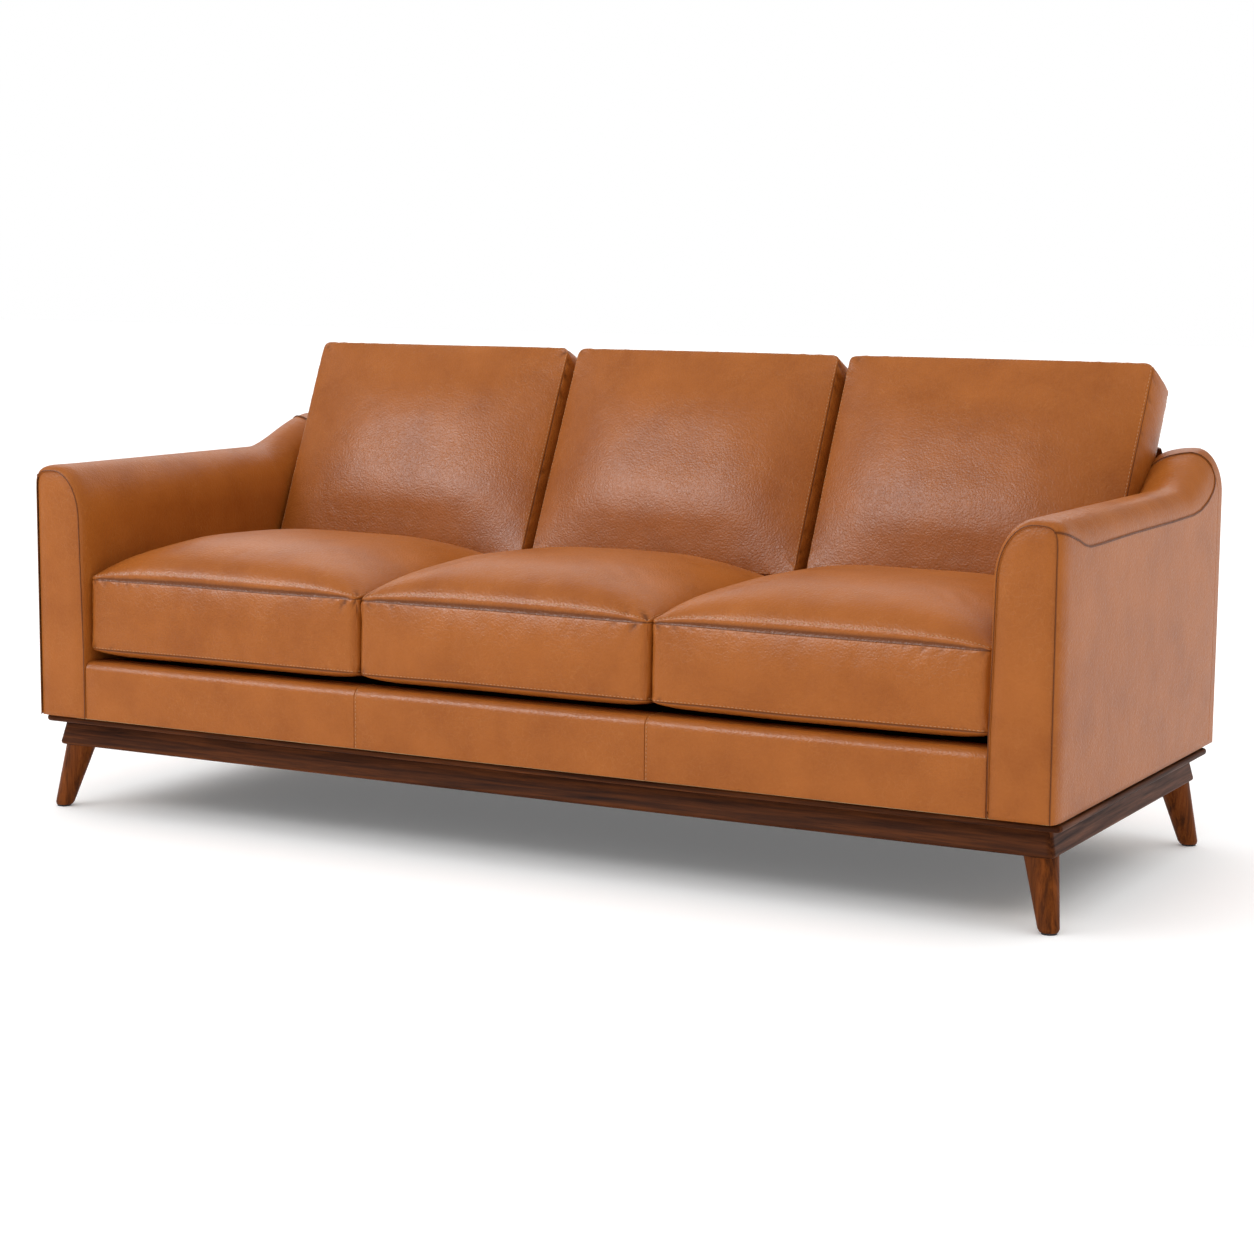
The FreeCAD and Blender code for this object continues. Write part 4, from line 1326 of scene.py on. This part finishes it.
        # The outline is stretched inwards, so that the panel reaches the sofa's back.
        inner = line[0, 0] + (xs - self.x_in) * (edge - line[0, 0]) / (edge - self.x_in)
        order = np.argsort(line[:, 0])
        outline = np.interp(inner, line[order, 0], np.maximum(top[order], 0.66))
        highest = np.array([top[line[:, 0] >= x - 1e-6].max() for x in inner])
        heights = np.minimum(highest, outline)
        up = np.linspace(0, 1, 60)
        grid = np.zeros((len(xs), len(up), 3))
        grid[..., 0] = xs[:, None]
        grid[..., 1] = FRONT_Y + ARM_DEPTH
        grid[..., 2] = self.bottom_z + (heights[:, None] - self.bottom_z) * up[None, :]
        skin = Skin()
        lift = np.broadcast_to(Edge.TUCK.height(share)[:, None], grid.shape[:2])
        skin.add(grid, lift, True)
        skin.weld()
        return skin

    def panel(self) -> Skin:
        """Front panel, a four-sided patch inside the arm's front edge."""
        def edge(start: float, stop: float, at: Array) -> Array:
            """Points along the front edge's section at given shares."""
            s = np.linspace(start, stop, 300)
            line = self.section(s, np.zeros_like(s))
            reach = np.concatenate([[0], np.cumsum(np.linalg.norm(np.diff(line, axis=0), axis=1))])
            return np.stack([np.interp(at * reach[-1], reach, line[:, k]) for k in range(3)], -1)

        across = stations(0.10, 6 * MM) / 0.10
        upward = stations(0.45, 8 * MM, False, True) / 0.45
        left = edge(0.0, 1.5, upward)
        right = edge(4.0, 2.5, upward)
        high = edge(1.5, 2.5, across)
        low = left[0] + (right[0] - left[0]) * across[:, None]
        u, v = across[:, None, None], upward[None, :, None]
        grid = ((1 - u) * left[None] + u * right[None] + (1 - v) * low[:, None] + v * high[:, None]
                - (1 - u) * (1 - v) * left[0] - u * (1 - v) * right[0]
                - (1 - u) * v * left[-1] - u * v * right[-1])
        outline = np.concatenate([left, high, right[::-1]])
        gap = np.min(np.linalg.norm(grid[:, :, None] - outline[None, None], axis=-1), axis=2)
        pad = 3.0 * MM * smooth(gap / (22 * MM))
        grid[..., 1] -= pad
        skin = Skin()
        skin.add(grid, Edge.TUCK.height(gap), False)
        skin.weld()
        return skin

    def welt(self) -> None:
        """Flat welts in the front panels' seams, both arms in one piece."""
        s = np.linspace(0.03, 2.66, 150)
        line = self.section(s, np.zeros_like(s)) - np.array([0.0, 0.0002, 0.0])
        curve = bpy.data.curves.new("arm_welts", "CURVE")
        curve.dimensions = "3D"
        curve.bevel_depth = self.welt_size
        curve.bevel_resolution = 2
        curve.use_fill_caps = True
        for side in (1, -1):
            spline = curve.splines.new("POLY")
            spline.points.add(len(line) - 1)
            for point, place in zip(spline.points, line):
                point.co = (side * place[0], place[1], place[2], 1.0)
        welts = bpy.data.objects.new("arm_welts", curve)
        bpy.context.scene.collection.objects.link(welts)
        activate(welts)
        bpy.ops.object.convert(target="MESH")
        bpy.ops.object.shade_smooth()
        dress(welts, self.finishes.leather)
        seat_on(welts, "sofa_frame", "piping_leather", "arm_piping")

    def build(self) -> None:
        """Make both arms."""
        plan = (("top", self.top, "arm_top_cover", "arm_foam"),
                ("outer", self.outer, "arm_outer_cover", None),
                ("front", self.panel, "arm_front_cover", None),
                ("rear", self.rear, None, None))
        stitching = Stitching()
        for name, maker, node, inner in plan:
            skin = maker()
            right = skin.piece(f"arm_{name}_leather_right")
            if name in ("top", "outer"):
                panel = skin.panel(0)
                line = (panel[-1 - STITCH_ROW, 8:-8] if name == "top"
                        else panel[STITCH_ROW:, STITCH_ROW - 2])
                stitching.along(skin.points[line], skin.normals[line])
            shell(right)
            left = mirror_piece(right, f"arm_{name}_leather_left")
            for piece, side in ((right, "right"), (left, "left")):
                dress(piece, self.finishes.leather)
                nodes = [f"{part}_{side}" for part in (node, inner) if part]
                seat_on(piece, "sofa_frame", "cognac_leather", *nodes)
                LOG.info("%s: %d faces", piece.name, len(piece.data.polygons))
        self.welt()
        right = stitching.piece("arm_stitches_right")
        for piece in (right, mirror_piece(right, "arm_stitches_left")):
            dress(piece, self.finishes.thread)
            seat_on(piece, "sofa_frame", "cognac_leather")


# ------------------------------------------------------------------ front rail and back
def thirds(half: float, seam_x: float) -> tuple[tuple[float, float], ...]:
    """Left, middle and right panel of a cover, each as its two ends along X."""
    return (-half, -seam_x), (-seam_x, seam_x), (seam_x, half)


@dataclass
class PaddedRail:
    """The front rail's cover, three panels sewn side by side."""

    finishes: Finishes
    half: float = 0.914
    seam_x: float = 0.297
    low_z: float = 0.1866
    top_z: float = 0.2965
    depth: float = 0.060
    radius: float = 0.018
    swell: float = 0.0025

    def profile(self, d: Array) -> tuple[Array, Array, Array]:
        """Side view from the lower edge over the top: y, z and how far the padding swells."""
        rise = self.top_z - self.radius - self.low_z
        arc = self.radius * math.pi / 2
        turn = (d - rise) / self.radius
        y = np.where(d < rise, 0.0,
                     np.where(d < rise + arc, self.radius * (1 - np.cos(turn)),
                              self.radius + d - rise - arc))
        z = np.where(d < rise, self.low_z + d,
                     np.where(d < rise + arc, self.low_z + rise + self.radius * np.sin(turn),
                              self.top_z))
        puff = self.swell * np.sin(np.clip(d / (rise + arc), 0, 1) * math.pi) ** 0.7
        return y, z, puff

    def build(self) -> None:
        """Make the three panels as one piece, with their stitches."""
        rise = self.top_z - self.radius - self.low_z
        arc = self.radius * math.pi / 2
        length = rise + arc + self.depth - self.radius
        along = np.unique(np.concatenate([np.linspace(0, 4 * MM, 4), np.linspace(4 * MM, rise, 13),
                                          np.linspace(rise, rise + arc, 12),
                                          np.linspace(rise + arc, length, 6)]))
        skin = Skin()
        stitching = Stitching()
        lines = []
        for x0, x1 in thirds(self.half, self.seam_x):
            xs = stations(x1 - x0, 9 * MM)
            x, t = np.meshgrid(xs, along, indexing="ij")
            y, z, puff = self.profile(t)
            wave = drift(np.stack([x + x0, y, z], -1), 0.22, 8, 2) * 0.8 * MM
            grid = np.stack([x0 + x, FRONT_Y + y, z], -1)
            lapped = Edge.TUCK_LAP.height(x)
            lift = np.minimum(lapped, Edge.TUCK.height(x1 - x0 - x))
            lift = np.where(lift < 0, lift, np.maximum(lapped, 0))
            lift = lift + (puff + wave) * smooth(np.minimum(x, x1 - x0 - x) / (30 * MM))
            lines.append(skin.add(grid, lift, False))
        skin.weld()
        rail = skin.piece("front_rail_leather")
        shell(rail)
        dress(rail, self.finishes.leather)
        seat_on(rail, "sofa_frame", "cognac_leather", "front_rail_cover", "front_rail_foam")
        for number in lines[1:]:
            line = skin.panel(number)[STITCH_ROW]
            stitching.along(skin.points[line], skin.normals[line])
        thread = stitching.piece("front_rail_stitches")
        dress(thread, self.finishes.thread)
        seat_on(thread, "sofa_frame", "cognac_leather")
        LOG.info("front rail: %d faces", len(rail.data.polygons))


@dataclass
class SofaBack:
    """The inside back with its rolled top, and the outer back in three panels."""

    finishes: Finishes
    half: float = 0.914
    foot_y: float = 0.670
    foot_z: float = 0.2965
    recline: float = math.radians(20)
    low_z: float = 0.2872
    top_z: float = 0.730
    roll: float = 0.020
    rear_y: float = ARM_DEPTH
    seam_x: float = 0.297
    bottom_z: float = 0.1866

    def path(self) -> Array:
        """Side view of the inside back, from its foot over the top to the rear seam."""
        slope = math.tan(self.recline)
        brow = self.top_z - self.roll * 1.4
        foot = np.array([self.foot_y + (self.low_z - self.foot_z) * slope, self.low_z])
        head = np.array([self.foot_y + (brow - self.foot_z) * slope, brow])
        ways = [foot + (head - foot) * t for t in np.linspace(0, 1, 40)]
        flat_end = np.array([self.rear_y - self.roll, self.top_z])
        corner = np.array([head[0] + self.roll * 1.4 * slope, self.top_z])
        start_flat = corner + np.array([self.roll * 1.2, 0])
        for t in np.linspace(0, 1, 14)[1:]:
            ways.append((1 - t) ** 2 * head + 2 * t * (1 - t) * corner + t**2 * start_flat)
        for t in np.linspace(0, 1, 8)[1:]:
            ways.append(start_flat + (flat_end - start_flat) * t)
        for t in np.linspace(0, 1, 12)[1:]:
            ways.append(flat_end + self.roll * np.array([math.sin(t * math.pi / 2),
                                                         math.cos(t * math.pi / 2) - 1]))
        return np.array(ways)

    def build(self) -> None:
        """Make the inside back and the outer back."""
        path = self.path()
        reach = np.concatenate([[0], np.cumsum(np.linalg.norm(np.diff(path, axis=0), axis=1))])
        along = stations(reach[-1], 9 * MM, False, True)
        side = np.stack([np.interp(along, reach, path[:, k]) for k in range(2)], 1)
        skin = Skin()
        stitching = Stitching()
        for x0, x1 in thirds(self.half, self.seam_x):
            xs = stations(x1 - x0, 12 * MM)
            grid = np.zeros((len(xs), len(along), 3))
            grid[..., 0] = x0 + xs[:, None]
            grid[..., 1] = FRONT_Y + side[None, :, 0]
            grid[..., 2] = side[None, :, 1]
            lift = np.minimum(Edge.TUCK_LAP.height(xs), Edge.TUCK.height(x1 - x0 - xs))[:, None]
            lift = np.minimum(lift, Edge.TUCK.height(reach[-1] - along)[None, :])
            skin.add(grid, lift, False)
        skin.weld()
        inside = skin.piece("inside_back_leather")
        shell(inside)
        dress(inside, self.finishes.leather)
        seat_on(inside, "sofa_frame", "cognac_leather", "inside_back_cover", "back_foam")
        rear = Skin()
        high = self.top_z - self.roll
        zs = self.bottom_z + stations(high - self.bottom_z, 11 * MM, False, True)
        rears = []
        for x0, x1 in thirds(self.half, self.seam_x):
            xs = stations(x1 - x0, 12 * MM)
            x, z = np.meshgrid(xs, zs, indexing="ij")
            grid = np.stack([x0 + x, np.full_like(x, FRONT_Y + self.rear_y), z], -1)
            lift = np.minimum(Edge.TUCK_LAP.height(x), Edge.TUCK.height(x1 - x0 - x))
            lift = np.where(lift < 0, lift, np.maximum(Edge.TUCK_LAP.height(x), 0))
            lift = np.minimum(lift, Edge.TUCK.height(high - z))
            rears.append(rear.add(grid, lift, True))
        rear.weld()
        outer = rear.piece("outer_back_leather")
        shell(outer)
        dress(outer, self.finishes.leather)
        seat_on(outer, "sofa_frame", "cognac_leather", "outer_back_cover")
        for number in rears[1:]:
            line = rear.panel(number)[STITCH_ROW]
            stitching.along(rear.points[line], rear.normals[line])
        thread = stitching.piece("outer_back_stitches")
        dress(thread, self.finishes.thread)
        seat_on(thread, "sofa_frame", "cognac_leather")
        LOG.info("back: %d and %d faces", len(inside.data.polygons), len(outer.data.polygons))


# ------------------------------------------------------------------ frame nodes
@dataclass
class FrameDress:
    """Materials of the CAD nodes that are shown as they are."""

    finishes: Finishes
    nodes: dict[str, bpy.types.Object]

    def build(self) -> None:
        """Assign every carried-over node's material."""
        f = self.finishes
        plan: dict[str, bpy.types.Material] = {
            "plinth_front": f.wood[Grain.ALONG_X], "plinth_back": f.wood[Grain.ALONG_X],
            "plinth_left": f.wood[Grain.ALONG_Y], "plinth_right": f.wood[Grain.ALONG_Y],
            "lip_front": f.wood[Grain.ALONG_X], "lip_back": f.wood[Grain.ALONG_X],
            "lip_left": f.wood[Grain.ALONG_Y], "lip_right": f.wood[Grain.ALONG_Y],
            "leg_front_left": f.leg, "leg_front_right": f.leg, "leg_back_left": f.leg,
            "leg_back_right": f.leg, "leg_glides": f.nylon, "leg_bolts": f.zinc,
            "corner_blocks": f.timber, "front_rail": f.timber, "back_rail": f.timber,
            "side_rails": f.timber, "seat_stretchers": f.timber, "frame_posts": f.timber,
            "back_top_rail": f.timber, "arm_top_rails": f.timber, "arm_boards": f.plywood,
            "dust_cover": f.black_cloth, "deck_cloth": f.black_cloth, "back_webbing": f.webbing,
            "seat_springs": f.spring, "spring_clips": f.zinc,
        }
        for side in ("left", "middle", "right"):
            for kind in ("seat", "back"):
                plan[f"{kind}_cushion_zip_{side}"] = f.zip_tape
        for name, material in plan.items():
            dress(self.nodes[name], material)
        LOG.info("dressed %d frame nodes", len(plan))


# ------------------------------------------------------------------ studio
@dataclass
class Studio:
    """Pale floor, soft lights and the camera."""

    eye: tuple[float, float, float] = (2.4009, -4.4296, 1.0645)
    yaw: float = math.radians(28.31)
    pitch: float = math.radians(7.78)
    roll: float = math.radians(0.44)
    lens: float = 77.0
    air: float = 0.34

    def camera(self) -> None:
        """Place the camera."""
        forward = Vector((-math.sin(self.yaw) * math.cos(self.pitch),
                          math.cos(self.yaw) * math.cos(self.pitch), -math.sin(self.pitch)))
        right = Vector((math.cos(self.yaw), math.sin(self.yaw), 0))
        up = right.cross(forward)
        x_axis = right * math.cos(self.roll) + up * math.sin(self.roll)
        y_axis = up * math.cos(self.roll) - right * math.sin(self.roll)
        turn = Matrix((x_axis, y_axis, -forward)).transposed()
        select_none()
        bpy.ops.object.camera_add(location=self.eye, rotation=turn.to_euler())
        camera = bpy.context.object
        camera.data.lens = self.lens
        camera.data.sensor_width = 36.0
        camera.data.clip_end = 60.0
        bpy.context.scene.camera = camera

    def light(self, name: str, place: tuple[float, float, float], aim: tuple[float, float, float],
              size: tuple[float, float], power: float) -> bpy.types.Object:
        """Add one soft box.

        Args:
            name: the light's name.
            place: where it hangs.
            aim: what it faces.
            size: its width and height.
            power: its strength in watts.

        Returns:
            The light.
        """
        way = Vector(aim) - Vector(place)
        select_none()
        bpy.ops.object.light_add(type="AREA", location=place,
                                 rotation=way.to_track_quat("-Z", "Y").to_euler())
        lamp = bpy.context.object
        lamp.name = name
        lamp.data.shape = "RECTANGLE"
        lamp.data.size, lamp.data.size_y = size
        lamp.data.energy = power
        return lamp

    def sun(self, name: str, way: tuple[float, float, float], spread: float,
            power: float) -> bpy.types.Object:
        """Add one far, wide light that falls evenly on all the floor.

        Args:
            name: the light's name.
            way: the direction it comes from.
            spread: how many degrees of the sky it fills.
            power: its strength.

        Returns:
            The light.
        """
        select_none()
        bpy.ops.object.light_add(type="SUN", location=(0, 0, 5),
                                 rotation=(-Vector(way)).to_track_quat("-Z", "Y").to_euler())
        lamp = bpy.context.object
        lamp.name = name
        lamp.data.angle = math.radians(spread)
        lamp.data.energy = power
        return lamp

    def floor(self) -> None:
        """Add the floor, a wide sheet of paper lit a little from below."""
        select_none()
        bpy.ops.mesh.primitive_grid_add(x_subdivisions=4, y_subdivisions=4, size=60.0,
                                        location=(0, 0, 0))
        ground = bpy.context.object
        ground.name = "studio_floor"
        material, _, shader, _ = new_material("studio_paper_white")
        shader.inputs["Base Color"].default_value = linear("#fbfbfb")
        shader.inputs["Roughness"].default_value = 0.9
        shader.inputs["Specular IOR Level"].default_value = 0.1
        shader.inputs["Emission Color"].default_value = linear("#ffffff")
        shader.inputs["Emission Strength"].default_value = 0.12
        dress(ground, material)

    def build(self) -> None:
        """Set up the studio."""
        self.camera()
        self.floor()
        self.light("soft_key", (-2.7, -2.8, 2.3), (-0.6, 0.0, 0.45), (2.6, 1.8), 22)
        gloss = self.light("gloss_card", (-2.4, -3.8, 3.35), (-0.1, 0.1, 0.6), (4.2, 1.3), 400)
        gloss.visible_diffuse = False
        rear = self.light("rear_card", (-1.4, 2.9, 2.5), (0.0, -0.2, 0.45), (4.5, 1.4), 34)
        rear.visible_diffuse = False
        sky = self.sun("broad_sky", (-0.1, 0.05, 1.0), 115.0, 2.7)
        sky.visible_glossy = False
        scene = bpy.context.scene
        scene.view_settings.view_transform = "Standard"
        scene.world = bpy.data.worlds.new("studio_air")
        scene.world.use_nodes = True
        tree = scene.world.node_tree
        back = tree.nodes["Background"]
        way = add_node(tree, "ShaderNodeTexCoord")
        split = add_node(tree, "ShaderNodeSeparateXYZ", {0: way.outputs["Generated"]})
        level = add_node(tree, "ShaderNodeMapRange", {0: split.outputs[2], 1: 0.11, 2: 0.2,
                                                      3: 1.0, 4: self.air})
        back.inputs[0].default_value = (1.0, 1.0, 1.0, 1.0)
        tree.links.new(level.outputs[0], back.inputs[1])


def main() -> None:
    """Build the studio, then the sofa: frame, arms, rail, back and cushions."""
    logging.basicConfig(level=logging.INFO, format="%(message)s")
    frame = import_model()
    select_none()
    Studio().build()
    finishes = Finishes()
    FrameDress(finishes, frame["nodes"]).build()
    RolledArm(finishes).build()
    PaddedRail(finishes).build()
    SofaBack(finishes).build()
    CushionSet(finishes).build()
    bpy.context.view_layer.update()


if __name__ == "__main__":
    main()
